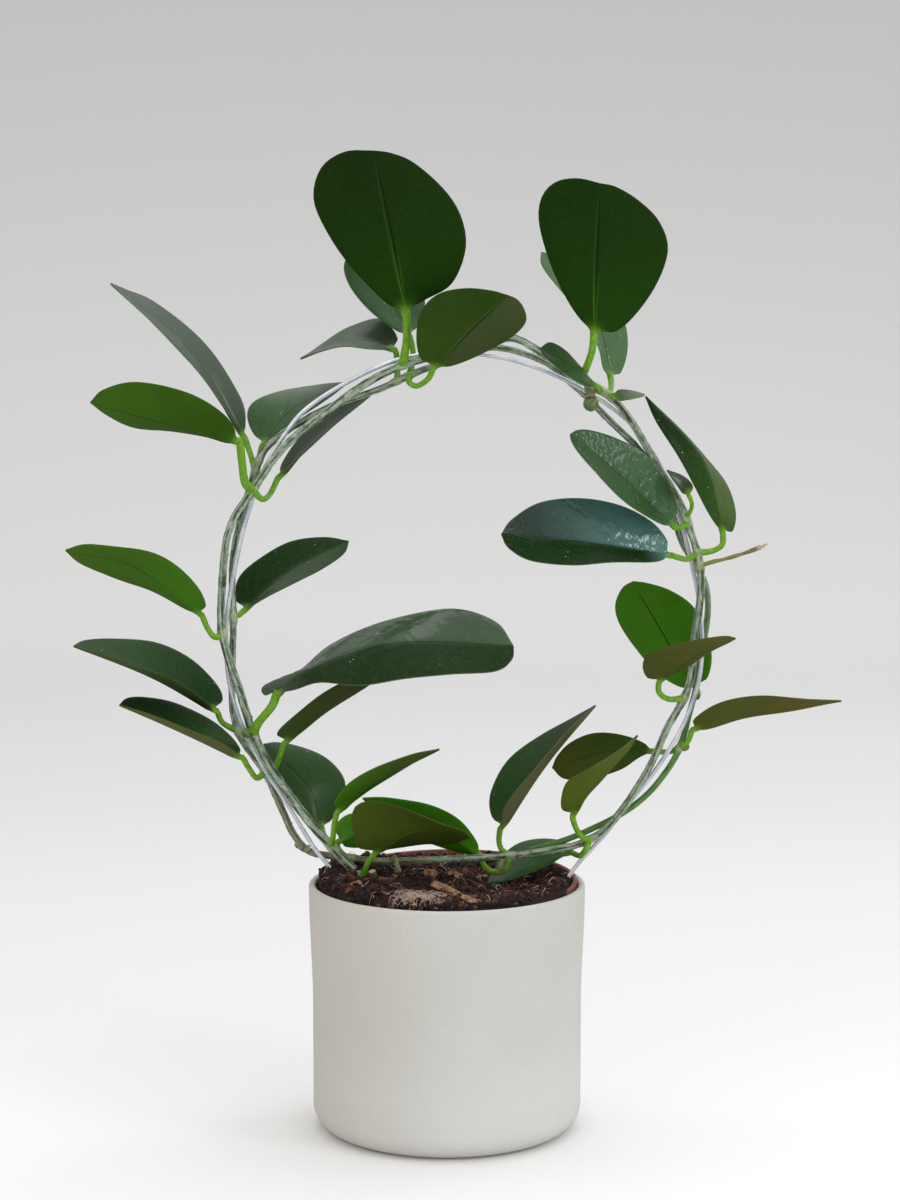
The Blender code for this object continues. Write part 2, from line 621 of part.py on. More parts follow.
# Leaves that stand over the pot.
leaf("leaf_21", "rim_right", [(576, 828, -11), (582, 837, -9)],
     [(572, 816, -11), (597, 778, -18), (638, 735, -17)],
     [(-10, [(561, 807), (566, 783), (585, 770), (617, 752), (631, 741)]),
      (9, [(579, 807), (589, 793), (608, 773), (628, 751)])], fold=0.5)
leaf("leaf_22", "middle", [(499, 841, 6), (502, 850, 4)],
     [(500, 829, 6), (546, 764, 2), (596, 705, -4)],
     [(20, [(490, 812), (491, 790), (508, 760), (540, 735), (575, 716)]),
      (-15, [(505, 806), (531, 772), (560, 739), (582, 717)])], fold=0.7)
leaf("leaf_23", "rim_right", [(577, 855, 1), (581, 855, -3.5), (586, 849, -6)],
     [(571, 852, 5), (530, 862, 11), (487, 884, 3)],
     [(14, [(565, 842), (545, 838), (522, 842), (505, 853), (492, 872)]),
      (-6, [(560, 858), (548, 866), (525, 875), (502, 882)])], fold=0.5)
leaf("leaf_24", "low_left", [(334, 826, -10), (333, 837, -9)],
     [(337, 812, -10), (380, 778, -18), (440, 749, -20)],
     [(-14, [(335, 801), (348, 784), (378, 766), (412, 754)]),
      (13, [(350, 804), (383, 781), (415, 762)])], fold=0.5)
leaf("leaf_25", "middle", [(484, 866, 6), (494, 872, 3), (504, 870, 0)],
     [(482, 856, 9), (428, 822, 16), (362, 798, 16)],
     [(-7, [(475, 838), (458, 818), (430, 805), (395, 798), (375, 797)]),
      (12, [(455, 852), (420, 840), (385, 820)])])
leaf("leaf_26", "foot", [(369, 861, -12), (365, 870, -10)],
     [(376, 852, -13), (418, 831, -20), (470, 837, -18)],
     [(-10, [(358, 848), (352, 825), (355, 806), (375, 800), (405, 809), (440, 823), (462, 830)]),
      (12, [(395, 848), (425, 845), (455, 843)])], fold=0.6)
leaf("leaf_27", "low_left", [(325, 837, 3)], [(322, 830, 8), (308, 786, 16), (263, 744, 19)],
     [(14, [(333, 818), (345, 795), (343, 776), (325, 757), (300, 746), (277, 742)]),
      (-6, [(305, 819), (285, 795), (270, 770)])])
leaf("leaf_28", "rim_left", [(338, 848, 11), (344, 855, 9)],
     [(337, 842, 11), (364, 830, 13), (400, 822, 16)],
     [(-5, [(334, 829), (343, 817), (360, 812), (385, 814)]), (7, [(345, 847), (362, 847), (385, 836)])])

# Leaves down the left side.
leaf("leaf_29", "left", [(208, 629, -6), (215, 637, -6)],
     [(202, 615, -6), (137, 566, -11), (65, 550, -12)],
     [(-16, [(206, 604), (197, 585), (176, 565), (150, 552), (115, 546), (85, 544)]),
      (19, [(185, 609), (150, 591), (112, 577), (80, 564)])], fold=0.6)
leaf("leaf_30", "left_far", [(239, 615, 8)], [(243, 611, 10), (291, 570, 15), (349, 541, 15)],
     [(12, [(235, 598), (239, 577), (260, 558), (290, 541), (325, 537)]),
      (-11, [(262, 600), (292, 584), (322, 570), (344, 554)])], fold=0.5)
leaf("leaf_31", "low_bend", [(223, 723, 3)], [(217, 711, 3), (153, 677, 2), (73, 646, 2)],
     [(22, [(223, 697), (214, 680), (190, 658), (155, 642), (115, 638), (85, 640)]),
      (-18, [(196, 694), (170, 678), (140, 667), (105, 655)])], fold=0.7)
leaf("leaf_32", "knee", [(250, 770, -2), (257, 778, 1)],
     [(243, 758, -4), (183, 732, -5), (119, 705, -7)],
     [(18, [(240, 748), (230, 735), (208, 718), (175, 702), (145, 697), (127, 698)]),
      (-18, [(222, 743), (195, 731), (165, 720), (140, 711)])], fold=0.7)
leaf("leaf_33", "thick", [(272, 706, -12), (259, 722, -11)],
     [(277, 693, -12), (312, 668, -22), (400, 643, -42), (514, 646, -52)],
     [(17, [(266, 696), (261, 690), (268, 683), (297, 672), (330, 645), (385, 621), (450, 608), (495, 621)]),
      (-16, [(295, 690), (320, 683), (360, 686), (405, 679), (450, 675), (495, 672), (512, 660)])],
     fold=0.4, stalk_radius=1.9)
leaf("leaf_34", "knee", [(279, 759, 5), (274, 768, 5)], [(284, 743, 3), (333, 702, 4), (392, 664, 8)],
     [(-13, [(277, 733), (293, 716), (322, 694), (358, 675)]),
      (15, [(292, 739), (322, 716), (350, 697), (376, 680)])], fold=0.5)


def make_leaves(vine_route, places, vine):
    green = finish_material("leaf_green", (0.06, 0.14, 0.03), 0.35)
    for name, shape in LEAVES.items():
        node_point = at_place(vine_route, places[shape["node"]])
        points, faces = leaf_solid(shape, node_point, vine)
        add_object(name, points, faces, green, 60)


FLOWER_STALK = [(761, 547, -2), (745, 553, -3), (725, 559, -4), (712, 562, -4)]
FLOWER_STALK_RADIUS = 0.9 * MM


def make_flower_stalk(vine_route, places, vine):
    """Dry stalk left by an old flower cluster, stiff and ragged at its end."""
    spots = [seen(*spot) for spot in FLOWER_STALK]
    fine = seated_stalk(spots, at_place(vine_route, places["stalk"]), FLOWER_STALK_RADIUS, vine)
    route = [fine[index] for index in thinned(fine)]
    radii = [FLOWER_STALK_RADIUS] * len(route)
    points, faces = tube(route, radii, 6)
    add_object("flower_stalk", points, faces, finish_material("dry_stalk", (0.2, 0.12, 0.06), 0.8))


CUT_STEM = [(377, 888, -4), (374, 879, -5), (372, 871, -6)]
CUT_STEM_RADIUS = 1.9 * MM


def make_cut_stem():
    """Short stump of a pruned shoot, beside the vine's foot."""
    route = smooth_route([seen(*spot) for spot in CUT_STEM], 2.5 * MM)
    points, faces = tube(route, [CUT_STEM_RADIUS] * len(route), 8)
    add_object("cut_stem", points, faces, finish_material("cut_wood", (0.42, 0.4, 0.26), 0.7))
    return route


def mix_height(across, depth):
    """Height of the mix's top: heaped on the left, lower on the right, and lumpy all over."""
    level = 119.5 * MM - across * 0.045
    level += 2 * MM * min(max((-depth - 20 * MM) / (38 * MM), 0.0), 1.0)
    heap = 3.5 * MM * math.exp(-((across + 50 * MM) ** 2 + (depth - 6 * MM) ** 2) / (22 * MM) ** 2)
    lumps = noise.noise(Vector((across, depth, 0)) * 110) * 1.6 * MM
    lumps += noise.noise(Vector((across, depth, 0.04)) * 260) * 0.8 * MM
    return level + heap + lumps


def make_potting_mix(rooted):
    """Peat and bark that fills the nursery pot, with a plain hole for each thing that stands in it."""
    rings = 7
    foot = NURSERY_FOOT + NURSERY_WALL + GAP
    foot_radius = nursery_inner_radius(foot) - GAP
    points = [leaned((NURSERY_OFFSET, 0, foot))]
    rim_height = 118.0 * MM
    outer = [(foot_radius, foot), (nursery_inner_radius(rim_height) - 1.5 * GAP, None)]
    for radius, height in outer:
        for index in range(ROUND_SIDES):
            angle = 2 * math.pi * index / ROUND_SIDES
            across, depth = radius * math.cos(angle), radius * math.sin(angle)
            if height is None:
                points.append(Vector((NURSERY_OFFSET + across, depth, mix_height(across, depth))))
            else:
                points.append(leaned((NURSERY_OFFSET + across, depth, height)))
    for ring in range(rings - 1, 0, -1):
        for index in range(ROUND_SIDES):
            angle = 2 * math.pi * index / ROUND_SIDES
            radius = (outer[1][0]) * ring / rings
            across, depth = radius * math.cos(angle), radius * math.sin(angle)
            points.append(Vector((NURSERY_OFFSET + across, depth, mix_height(across, depth))))
    points.append(Vector((NURSERY_OFFSET, 0, mix_height(0, 0))))
    faces = []
    for index in range(ROUND_SIDES):
        following = (index + 1) % ROUND_SIDES
        faces.append((0, 1 + following, 1 + index))
        for ring in range(rings):
            low = 1 + ring * ROUND_SIDES
            high = low + ROUND_SIDES
            faces.append((low + index, low + following, high + following))
            faces.append((low + index, high + following, high + index))
        last = 1 + rings * ROUND_SIDES
        faces.append((last + index, last + following, len(points) - 1))
    mix = add_object("potting_mix", points, faces, finish_material("peat_mix", (0.05, 0.025, 0.015), 0.95))
    for name, (route, radius) in rooted.items():
        hole_points, hole_faces = tube(route, [radius + 1.4 * GAP] * len(route), 10)
        cutter_for(mix, name + "_hole", hole_points, hole_faces)


def hole_route(route, reach):
    """Stretch of a route that a hole in the mix follows, a little deeper than the piece in it."""
    stretch = smooth_route(route, 4 * MM)
    kept = [point for point in stretch if (point - stretch[0]).length < reach]
    deeper = kept[0] + (kept[0] - kept[1]).normalized() * 2 * GAP
    return [deeper] + kept


def main():
    clear_scene()
    make_cover_pot()
    make_nursery_pot()
    wire = wire_route()
    make_wire_hoop(wire)
    vine_route = smooth_route(vine_points(wire), 11 * MM)
    places = node_places(vine_route)
    radii = vine_radii(vine_route, places)
    vine = list(zip(vine_route, radii))
    make_vine(vine_route, radii)
    make_leaves(vine_route, places, vine)
    make_flower_stalk(vine_route, places, vine)
    cut_stem = make_cut_stem()
    make_potting_mix({
        "vine": (hole_route(vine_route, 40 * MM), VINE_BASE_RADIUS + NODE_SWELLING),
        "wire_left": (hole_route(wire, 40 * MM), WIRE_RADIUS),
        "wire_right": (hole_route(list(reversed(wire)), 40 * MM), WIRE_RADIUS),
        "stump": (hole_route(cut_stem, 40 * MM), CUT_STEM_RADIUS)})


main()
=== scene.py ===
"""Looks of a potted Hoya australis: a waxy-leaved vine wound twice round a wire hoop.

Pots, potting mix, wire, vine and leaves follow in the order in which the plant was potted up and
trained. Lengths are in metres, MM turns millimetres into them, and -Y is the side seen first.
"""

import bpy
import math
import random
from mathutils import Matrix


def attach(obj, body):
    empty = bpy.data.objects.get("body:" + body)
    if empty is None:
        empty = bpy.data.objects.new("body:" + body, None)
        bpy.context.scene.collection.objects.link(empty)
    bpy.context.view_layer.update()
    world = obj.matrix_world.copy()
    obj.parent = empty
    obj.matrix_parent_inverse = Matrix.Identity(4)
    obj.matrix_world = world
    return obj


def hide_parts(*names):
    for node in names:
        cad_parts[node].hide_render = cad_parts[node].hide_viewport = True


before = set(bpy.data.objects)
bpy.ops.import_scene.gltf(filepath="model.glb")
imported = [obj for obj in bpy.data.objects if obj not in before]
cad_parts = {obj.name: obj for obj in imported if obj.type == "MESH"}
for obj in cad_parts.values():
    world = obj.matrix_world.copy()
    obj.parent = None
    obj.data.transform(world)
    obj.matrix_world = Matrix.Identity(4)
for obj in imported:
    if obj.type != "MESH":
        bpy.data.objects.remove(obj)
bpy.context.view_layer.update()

from types import SimpleNamespace

from mathutils import Vector, noise

MM = 0.001

# The view. The eye is 1.3 m in front of the hoop and looks a little down at it, with a long lens,
# so that the pot's rim is a flat ellipse. Picture places below are given through this eye.
EYE = Vector((1.5, -1300.0, 404.0)) * MM
PITCH = math.radians(6.26)
FOCAL_PX = 2686.0
PICTURE = (900.0, 1200.0)
SENSOR = 36.0


def seen(across, down, depth):
    """Point shown at a pixel of the picture, depth millimetres behind the hoop's plane."""
    right = (across - PICTURE[0] / 2) / FOCAL_PX
    up = (PICTURE[1] / 2 - down) / FOCAL_PX
    ray = Vector((right, math.cos(PITCH) + up * math.sin(PITCH), up * math.cos(PITCH) - math.sin(PITCH)))
    return EYE + ray * ((depth * MM - EYE.y) / ray.y)


view = bpy.data.cameras.new("view")
view.sensor_width = SENSOR
view.lens = SENSOR * FOCAL_PX / PICTURE[1]
eye = bpy.data.objects.new("eye", view)
eye.location = EYE
eye.rotation_euler = (math.pi / 2 - PITCH, 0.0, 0.0)
bpy.context.collection.objects.link(eye)
bpy.context.scene.camera = eye
# Plain screen colours, so that the pale paper's painted greys show as they are set.
bpy.context.scene.view_settings.view_transform = "Standard"


# The cover pot. Matt slip-cast stoneware in a warm grey, straight-sided with a soft round foot, and
# flared a little to a thin round lip. It is turned from one profile and stands on its flat base.
POT_HEIGHT = 122.0 * MM
POT_RIM_RADIUS = 68.0 * MM
POT_BODY_RADIUS = 66.2 * MM
POT_WALL = 3.5 * MM
POT_FLOOR = 6.0 * MM
POT_CORNER = 12.0 * MM
POT_SIDES = 200
POT_WALL_STEPS = 24


class Value:
    """A socket in a finish, on which arithmetic adds the Math nodes that work it out."""

    def __init__(self, finish, socket):
        self.finish = finish
        self.socket = socket

    def math(self, operation, *values):
        return self.finish.node("ShaderNodeMath", {"operation": operation}, dict(enumerate(values)))

    def __add__(self, other):
        return self.math("ADD", self, other)

    def __sub__(self, other):
        return self.math("SUBTRACT", self, other)

    def __rsub__(self, other):
        return self.math("SUBTRACT", other, self)

    def __mul__(self, other):
        return self.math("MULTIPLY", self, other)

    __radd__ = __add__
    __rmul__ = __mul__

    def size(self):
        return self.math("ABSOLUTE", self)

    def sine(self):
        return self.math("SINE", self)

    def step(self, low, high):
        """0 below low and 1 above high, with a smooth rise; low may be the larger."""
        return self.finish.node("ShaderNodeMapRange", {"interpolation_type": "SMOOTHSTEP"},
                                {"Value": self, "From Min": low, "From Max": high})


class Finish:
    """A procedural material round one Principled shader, whose constants are set on its own sockets."""

    def __init__(self, name, **constants):
        self.material = bpy.data.materials.new(name)
        self.material.use_nodes = True
        self.tree = self.material.node_tree
        self.shader = self.tree.nodes["Principled BSDF"]
        for socket, value in constants.items():
            self.shader.inputs[socket.replace("_", " ").title().replace("Ior", "IOR")].default_value = value

    def node(self, kind, settings, sockets, output=0):
        """Adds a node with its settings and its sockets' values or links, and gives its output."""
        item = self.tree.nodes.new(kind)
        for setting, value in settings.items():
            setattr(item, setting, value)
        for socket, value in sockets.items():
            if isinstance(value, Value):
                self.tree.links.new(value.socket, item.inputs[socket])
            else:
                item.inputs[socket].default_value = value
        return Value(self, item.outputs[output])

    def place(self, axis=None):
        """The place on the piece in metres, or its X, Y or Z alone."""
        place = self.node("ShaderNodeTexCoord", {}, {}, "Object")
        return self.node("ShaderNodeSeparateXYZ", {}, {"Vector": place}, axis) if axis else place

    def layer(self, name):
        """A value that the mesh carries at its points."""
        return self.node("ShaderNodeAttribute", {"attribute_name": name}, {}, "Fac")

    def noise(self, scale, detail=2.0, where=None, roughness=0.5):
        return self.node("ShaderNodeTexNoise", {}, {"Vector": where or self.place(), "Scale": scale,
                                                    "Detail": detail, "Roughness": roughness}, "Fac")

    def cells(self, scale):
        """Distance to the nearest of many scattered points."""
        return self.node("ShaderNodeTexVoronoi", {}, {"Vector": self.place(), "Scale": scale}, "Distance")

    def streaks(self, along, across, detail, roughness):
        """Noise drawn out along a grain, from its places along and across."""
        grain = self.node("ShaderNodeCombineXYZ", {}, {0: along, 1: across})
        return self.noise(1.0, detail, grain, roughness)

    def mix(self, share, first, second):
        """Colour between two, each a Value or red, green and blue from 0 to 255."""
        colours = [item if isinstance(item, Value) else paint(*item) for item in (first, second)]
        return self.node("ShaderNodeMix", {"data_type": "RGBA"}, {0: share, 6: colours[0], 7: colours[1]}, 2)

    def relief(self, height, depth):
        """Normal of a surface with a height from 0 to 1 over a depth in metres."""
        return self.node("ShaderNodeBump", {}, {"Height": height, "Distance": depth, "Strength": 1.0})

    def feed(self, **links):
        for socket, value in links.items():
            self.tree.links.new(value.socket, self.shader.inputs[socket.replace("_", " ").title()])
        return self.material


def paint(red, green, blue):
    """Linear colour, with alpha, of a screen colour given from 0 to 255."""
    steps = [value / 255 for value in (red, green, blue)]
    return (*[step / 12.92 if step <= 0.04045 else ((step + 0.055) / 1.055) ** 2.4 for step in steps], 1.0)


def add_piece(name, points, faces, material, slot, replaced=(), layers=None, sharp=180):
    """One named piece of the plant from its points and faces, shaded smooth up to a sharp angle."""
    mesh = bpy.data.meshes.new(name)
    mesh.from_pydata([tuple(point) for point in points], [], faces)
    mesh.materials.append(material)
    for layer, values in (layers or {}).items():
        mesh.attributes.new(layer, "FLOAT", "POINT").data.foreach_set("value", values)
    mesh.shade_smooth()
    mesh.set_sharp_from_angle(angle=math.radians(sharp))
    piece = bpy.data.objects.new(name, mesh)
    bpy.context.collection.objects.link(piece)
    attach(piece, "root")
    if replaced:
        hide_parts(*replaced)
    return piece


def full_turn(sides):
    """Even angles round a full turn."""
    return [2 * math.pi * index / sides for index in range(sides)]


def band(lower, upper, sides):
    """Faces between two rings, given by the numbers of their first points."""
    pairs = [(index, (index + 1) % sides) for index in range(sides)]
    return [(lower + index, lower + following, upper + following, upper + index)
            for index, following in pairs]


def bowl_faces(count, sides):
    """Faces of a closed skin of rings, of which the first and the last point are the two poles."""
    last = count - 1 - sides
    faces = [(0, 1 + (index + 1) % sides, 1 + index) for index in range(sides)]
    for start in range(1, last, sides):
        faces += band(start, start + sides, sides)
    return faces + [(last + index, last + (index + 1) % sides, count - 1) for index in range(sides)]


def turned(profile, sides, centre=0.0):
    """Points and faces turned round the upright axis; a profile starts and ends on the axis."""
    points = [Vector((centre, 0.0, profile[0][1]))]
    for radius, height in profile[1:-1]:
        points += [Vector((centre + radius * math.cos(angle), radius * math.sin(angle), height))
                   for angle in full_turn(sides)]
    points.append(Vector((centre, 0.0, profile[-1][1])))
    return points, bowl_faces(len(points), sides)


def arc(centre, radius, start_degrees, end_degrees, steps):
    """Points of a profile along an arc, as radius and height pairs."""
    result = []
    for step in range(steps + 1):
        angle = math.radians(start_degrees + (end_degrees - start_degrees) * step / steps)
        result.append((centre[0] + radius * math.cos(angle), centre[1] + radius * math.sin(angle)))
    return result


def eased(share):
    """Smooth rise from 0 to 1, flat at both ends."""
    share = min(max(share, 0.0), 1.0)
    return share * share * (3 - 2 * share)


def pot_wall_profile():
    """Outer wall upward, lip, and inner wall downward, with the flare spread over the upper half."""
    flare = POT_RIM_RADIUS - POT_BODY_RADIUS
    lip = POT_WALL / 2
    outer = []
    inner = []
    for step in range(POT_WALL_STEPS + 1):
        height = POT_CORNER + (POT_HEIGHT - lip - POT_CORNER) * step / POT_WALL_STEPS
        swell = flare * eased((height / POT_HEIGHT - 0.5) / 0.5)
        outer.append((POT_BODY_RADIUS + swell, height))
        inner.append((POT_BODY_RADIUS + swell - POT_WALL, height))
    floor = [spot for spot in reversed(inner) if spot[1] > POT_FLOOR + POT_CORNER]
    return outer + arc((POT_RIM_RADIUS - lip, POT_HEIGHT - lip), lip, 0, 180, 12)[1:-1] + floor


def stoneware():
    """Fine-grained matt glaze: clouded very slightly, with a sandy tooth under the fingers, and with painted
    light: paler toward the foot, warmer and darker down the left side.
    """
    finish = Finish("stoneware", roughness=0.62)
    cloud = finish.noise(14.0, 3.0)
    grain = finish.noise(900.0, 3.0, roughness=0.7)
    speck = finish.cells(420.0).step(0.16, 0.05) * finish.noise(160.0).step(0.52, 0.62)
    up = finish.place("Z")
    body = finish.mix(cloud.step(0.3, 0.7), (201, 201, 196), (208, 208, 204))
    body = finish.mix(grain.step(0.25, 0.8) * 0.35, body, (188, 184, 175))
    body = finish.mix(speck * 0.22, body, (160, 150, 136))
    # Painted light: the glaze is painted paler toward the foot, where the lower wall is lit more brightly.
    body = finish.mix(up.step(0.06, 0.02) * 0.4, body, (222, 221, 219))
    # Painted light and shade: the left side is painted a darker warm beige, for the warm light that falls on
    # it.
    body = finish.mix(finish.place("X").step(0.0, -0.066) * 0.45, body, (192, 184, 168))
    body = finish.mix(up.step(0.01, 0.0) * 0.3, body, (196, 184, 172))
    return finish.feed(base_color=body, roughness=0.56 + grain * 0.14,
                       normal=finish.relief(grain, 0.07 * MM))


profile = [(0, 0)]
profile += arc((POT_BODY_RADIUS - POT_CORNER, POT_CORNER), POT_CORNER, -90, 0, 14)[:-1]
profile += pot_wall_profile()
inner_corner = (POT_BODY_RADIUS - POT_WALL - POT_CORNER, POT_FLOOR + POT_CORNER)
profile += arc(inner_corner, POT_CORNER, 0, -90, 10)
profile.append((0, POT_FLOOR))
add_piece("stoneware_cover_pot", *turned(profile, POT_SIDES), stoneware(), "stoneware", ["cover_pot"],
          sharp=50)


# The nursery pot. Thin blow-moulded plastic, brick brown and scuffed, with a turned-out lip and
# eight drain holes. It stands inside the cover pot, against its right wall, and leans forward.
NURSERY_OFFSET = 2.8 * MM
NURSERY_TOP = 124.0 * MM
NURSERY_TOP_RADIUS = 60.3 * MM
NURSERY_FOOT_RADIUS = 44.0 * MM
NURSERY_FOOT = 7.7 * MM
NURSERY_WALL = 1.0 * MM
NURSERY_CORNER = 1.5 * MM
NURSERY_LIP = 1.0 * MM
NURSERY_LIP_DEPTH = 5.0 * MM
NURSERY_LIP_EDGE = 0.4 * MM
NURSERY_LIP_ROUND = 0.8 * MM
NURSERY_LEAN = math.radians(1.7)
NURSERY_SIDES = 160
DRAIN_RING_RADIUS = 30.0 * MM
DRAIN_HOLE_RADIUS = 3.5 * MM
DRAIN_HOLES = 8


def leaned(point):
    """Where a point of the nursery pot lies once the pot leans forward, its rim's middle in place."""
    across, depth, height = point
    under = NURSERY_TOP - height
    return Vector((across, depth * math.cos(NURSERY_LEAN) + under * math.sin(NURSERY_LEAN),
                   NURSERY_TOP + depth * math.sin(NURSERY_LEAN) - under * math.cos(NURSERY_LEAN)))


def nursery_inner_radius(height):
    """Radius of the nursery pot's inner face, which tapers to its foot."""
    foot = NURSERY_FOOT_RADIUS - NURSERY_WALL
    top = NURSERY_TOP_RADIUS - NURSERY_WALL
    return foot + (top - foot) * (height - NURSERY_FOOT) / (NURSERY_TOP - NURSERY_FOOT)


def red_plastic():
    """Brick-brown plastic, scuffed paler, with dry dust on it."""
    finish = Finish("red_plastic", roughness=0.45)
    wear = finish.noise(120.0, 4.0, roughness=0.65)
    dust = finish.noise(38.0, 2.0).step(0.45, 0.75)
    body = finish.mix(wear.step(0.35, 0.7), (108, 50, 42), (132, 68, 58))
    body = finish.mix(dust * 0.35, body, (120, 92, 78))
    return finish.feed(base_color=body, roughness=0.38 + wear * 0.25,
                       normal=finish.relief(wear, 0.06 * MM))


nursery_floor = NURSERY_FOOT + NURSERY_WALL
lip_foot = NURSERY_TOP - NURSERY_LIP_DEPTH
lip_radius = NURSERY_TOP_RADIUS + NURSERY_LIP
mouth_radius = nursery_inner_radius(NURSERY_TOP)
profile = [(0, NURSERY_FOOT)]
foot_corner = (NURSERY_FOOT_RADIUS - NURSERY_CORNER, NURSERY_FOOT + NURSERY_CORNER)
profile += arc(foot_corner, NURSERY_CORNER, -90, -8, 5)
profile.append((nursery_inner_radius(lip_foot) + NURSERY_WALL, lip_foot))
profile += arc((lip_radius - NURSERY_LIP_EDGE, lip_foot + NURSERY_LIP_EDGE), NURSERY_LIP_EDGE, -90, 0, 3)
profile += arc((lip_radius - NURSERY_LIP_ROUND, NURSERY_TOP - NURSERY_LIP_ROUND), NURSERY_LIP_ROUND, 0, 90, 6)
profile += [(mouth_radius + 0.3 * MM, NURSERY_TOP), (mouth_radius - 0.1 * MM, NURSERY_TOP - 0.4 * MM),
            (nursery_inner_radius(lip_foot), lip_foot), (nursery_inner_radius(nursery_floor), nursery_floor),
            (0, nursery_floor)]
points, faces = turned(profile, NURSERY_SIDES, NURSERY_OFFSET)
nursery = add_piece("plastic_nursery_pot", [leaned(point) for point in points], faces, red_plastic(),
                    "red_plastic", ["nursery_pot"], sharp=50)
for index in range(DRAIN_HOLES):
    angle = 2 * math.pi * (index + 0.5) / DRAIN_HOLES
    bpy.ops.mesh.primitive_cylinder_add(vertices=24, radius=DRAIN_HOLE_RADIUS, depth=6 * NURSERY_WALL)
    drill = bpy.context.object
    drill.location = leaned((NURSERY_OFFSET + DRAIN_RING_RADIUS * math.cos(angle),
                             DRAIN_RING_RADIUS * math.sin(angle), NURSERY_FOOT))
    cut = nursery.modifiers.new("drain", "BOOLEAN")
    cut.operation = "DIFFERENCE"
    cut.solver = "EXACT"
    cut.object = drill
    bpy.context.view_layer.objects.active = nursery
    bpy.ops.object.modifier_apply(modifier="drain")
    bpy.data.objects.remove(drill, do_unlink=True)


# The potting mix. Damp peat and coir heaped a little at the left and front, open and crumbly, with
# loose crumbs, curled coir fibres and chips of pine bark lying on it and over the nursery rim.
MIX_LEVEL = 119.5 * MM
MIX_SLOPE = 0.045
MIX_SHOULDER = 112 * MM
MIX_GAP = 0.3 * MM
FRONT_RISE = 2 * MM
FRONT_FROM = 20 * MM
FRONT_OVER = 38 * MM
RIM_BANK = 1.3 * MM
RIM_NEAR = 0.8 * MM
RIM_BARE = 0.4 * MM
RIM_BARE_BACK = 1.8 * MM
BACK_FROM = 35 * MM
BANK_FROM = 36 * MM
BANK_OVER = 22 * MM
SPILL_TOWARD = math.radians(-122)
SPILL_SPREAD = 0.35
SPILL_FADE = 0.3
SPILL_DROP = 3.4 * MM
SPILL_DROP_OVER = 2.6 * MM
SPILL_HANG = 4.5 * MM
SPILL_REACH = 3.0 * MM
SPILL_REACH_LEFT = 2.6 * MM
SPILL_UNEVEN = 0.8 * MM
HEAP = (-52 * MM, 2 * MM)
HEAP_SPREAD = 21 * MM
HEAP_HEIGHT = 4.5 * MM
CLODS = ((0.0, 110, 1.6), (0.04, 260, 0.8))
GRAINS = ((0.02, 380, 1.2), (0.07, 1500, 0.5))
SHARP_GRAINS = ((0.09, 760, 1.2),)
MIX_RINGS = 74
MIX_SIDES = 300
CRUMBS = 3600
FIBRES = 1150
FIBRE_STEPS = 7
FIBRE_LIFT = 0.2 * MM
FIBRE_CLEAR = 0.6 * MM
TANGLE = (-15 * MM, -54 * MM, 4.5 * MM, 8 * MM)
mix_draw = random.Random(11)
mix_foot = nursery_floor + MIX_GAP
foot_radius = nursery_inner_radius(nursery_floor + NURSERY_WALL) - 0.5 * MM
top_radius = nursery_inner_radius(118 * MM) - 0.4 * MM


def spilled(angle):
    """How far the mix covers the nursery rim at an angle: wholly at the front and left, else not."""
    return eased((math.cos(angle - SPILL_TOWARD) + SPILL_SPREAD) / SPILL_FADE)


def unevenness(across, depth, waves):
    """Unevenness at a place, from waves of a seed, their number to the metre and height in mm."""
    return sum(noise.noise(Vector((across, depth, seed)) * scale) * height * MM
               for seed, scale, height in waves)


def mix_height(across, depth, fine):
    """Height of the mix's top: the solid's heap, clods and crumbs, and a bank that covers the rim."""
    level = MIX_LEVEL - across * MIX_SLOPE
    level += FRONT_RISE * min(max((-depth - FRONT_FROM) / FRONT_OVER, 0.0), 1.0)
    clods = unevenness(across, depth, CLODS)
    rim = NURSERY_TOP + depth * math.sin(NURSERY_LEAN)
    covered = spilled(math.atan2(depth, across))
    bare = RIM_BARE + RIM_BARE_BACK * eased((depth - BACK_FROM) / BANK_OVER)
    bank = RIM_BANK * covered - bare * (1 - covered)
    radius = math.hypot(across, depth)
    outward = eased((radius - BANK_FROM) / BANK_OVER)
    top = (level + clods) * (1 - outward) + (rim + bank + clods * 0.4) * outward
    away = (across - HEAP[0]) ** 2 + (depth - HEAP[1]) ** 2
    heap = HEAP_HEIGHT * math.exp(-away / HEAP_SPREAD ** 2)
    grains = unevenness(across, depth, GRAINS) + abs(unevenness(across, depth, SHARP_GRAINS))
    drop = SPILL_DROP * eased((radius - NURSERY_TOP_RADIUS - RIM_NEAR) / SPILL_DROP_OVER)
    return top + heap + grains * fine - drop


def mix_reach(angle):
    """How far the mix reaches at an angle: to the nursery wall, or over its rim into the gap."""
    uneven = noise.noise(Vector((math.cos(angle), math.sin(angle), 0.5)) * 4.0)
    over = NURSERY_TOP_RADIUS + SPILL_REACH + SPILL_REACH_LEFT * max(-math.cos(angle), 0.0)
    over += uneven * SPILL_UNEVEN
    over = min(over, POT_RIM_RADIUS - POT_WALL - 0.5 * MM - NURSERY_OFFSET * math.cos(angle))
    return top_radius + (over - top_radius) * spilled(angle)


def on_top(angle, radius, fine=0.3):
    """Point on the mix at an angle and a radius round the nursery pot's middle."""
    across, depth = radius * math.cos(angle), radius * math.sin(angle)
    return Vector((NURSERY_OFFSET + across, depth, mix_height(across, depth, fine)))


def on_mix(spread=1.0):
    """A random place on the mix."""
    angle = mix_draw.uniform(0, 2 * math.pi)
    return on_top(angle, (top_radius - 1.5 * MM) * math.sqrt(mix_draw.random()) * spread)


def on_front_rim():
    """A random place on the mix where it has spilled over the nursery rim, at its front and left."""
    angle = math.radians(mix_draw.gauss(-115, 50))
    return on_top(angle, mix_reach(angle) - mix_draw.triangular(0.8, 6.0, 1.2) * MM)


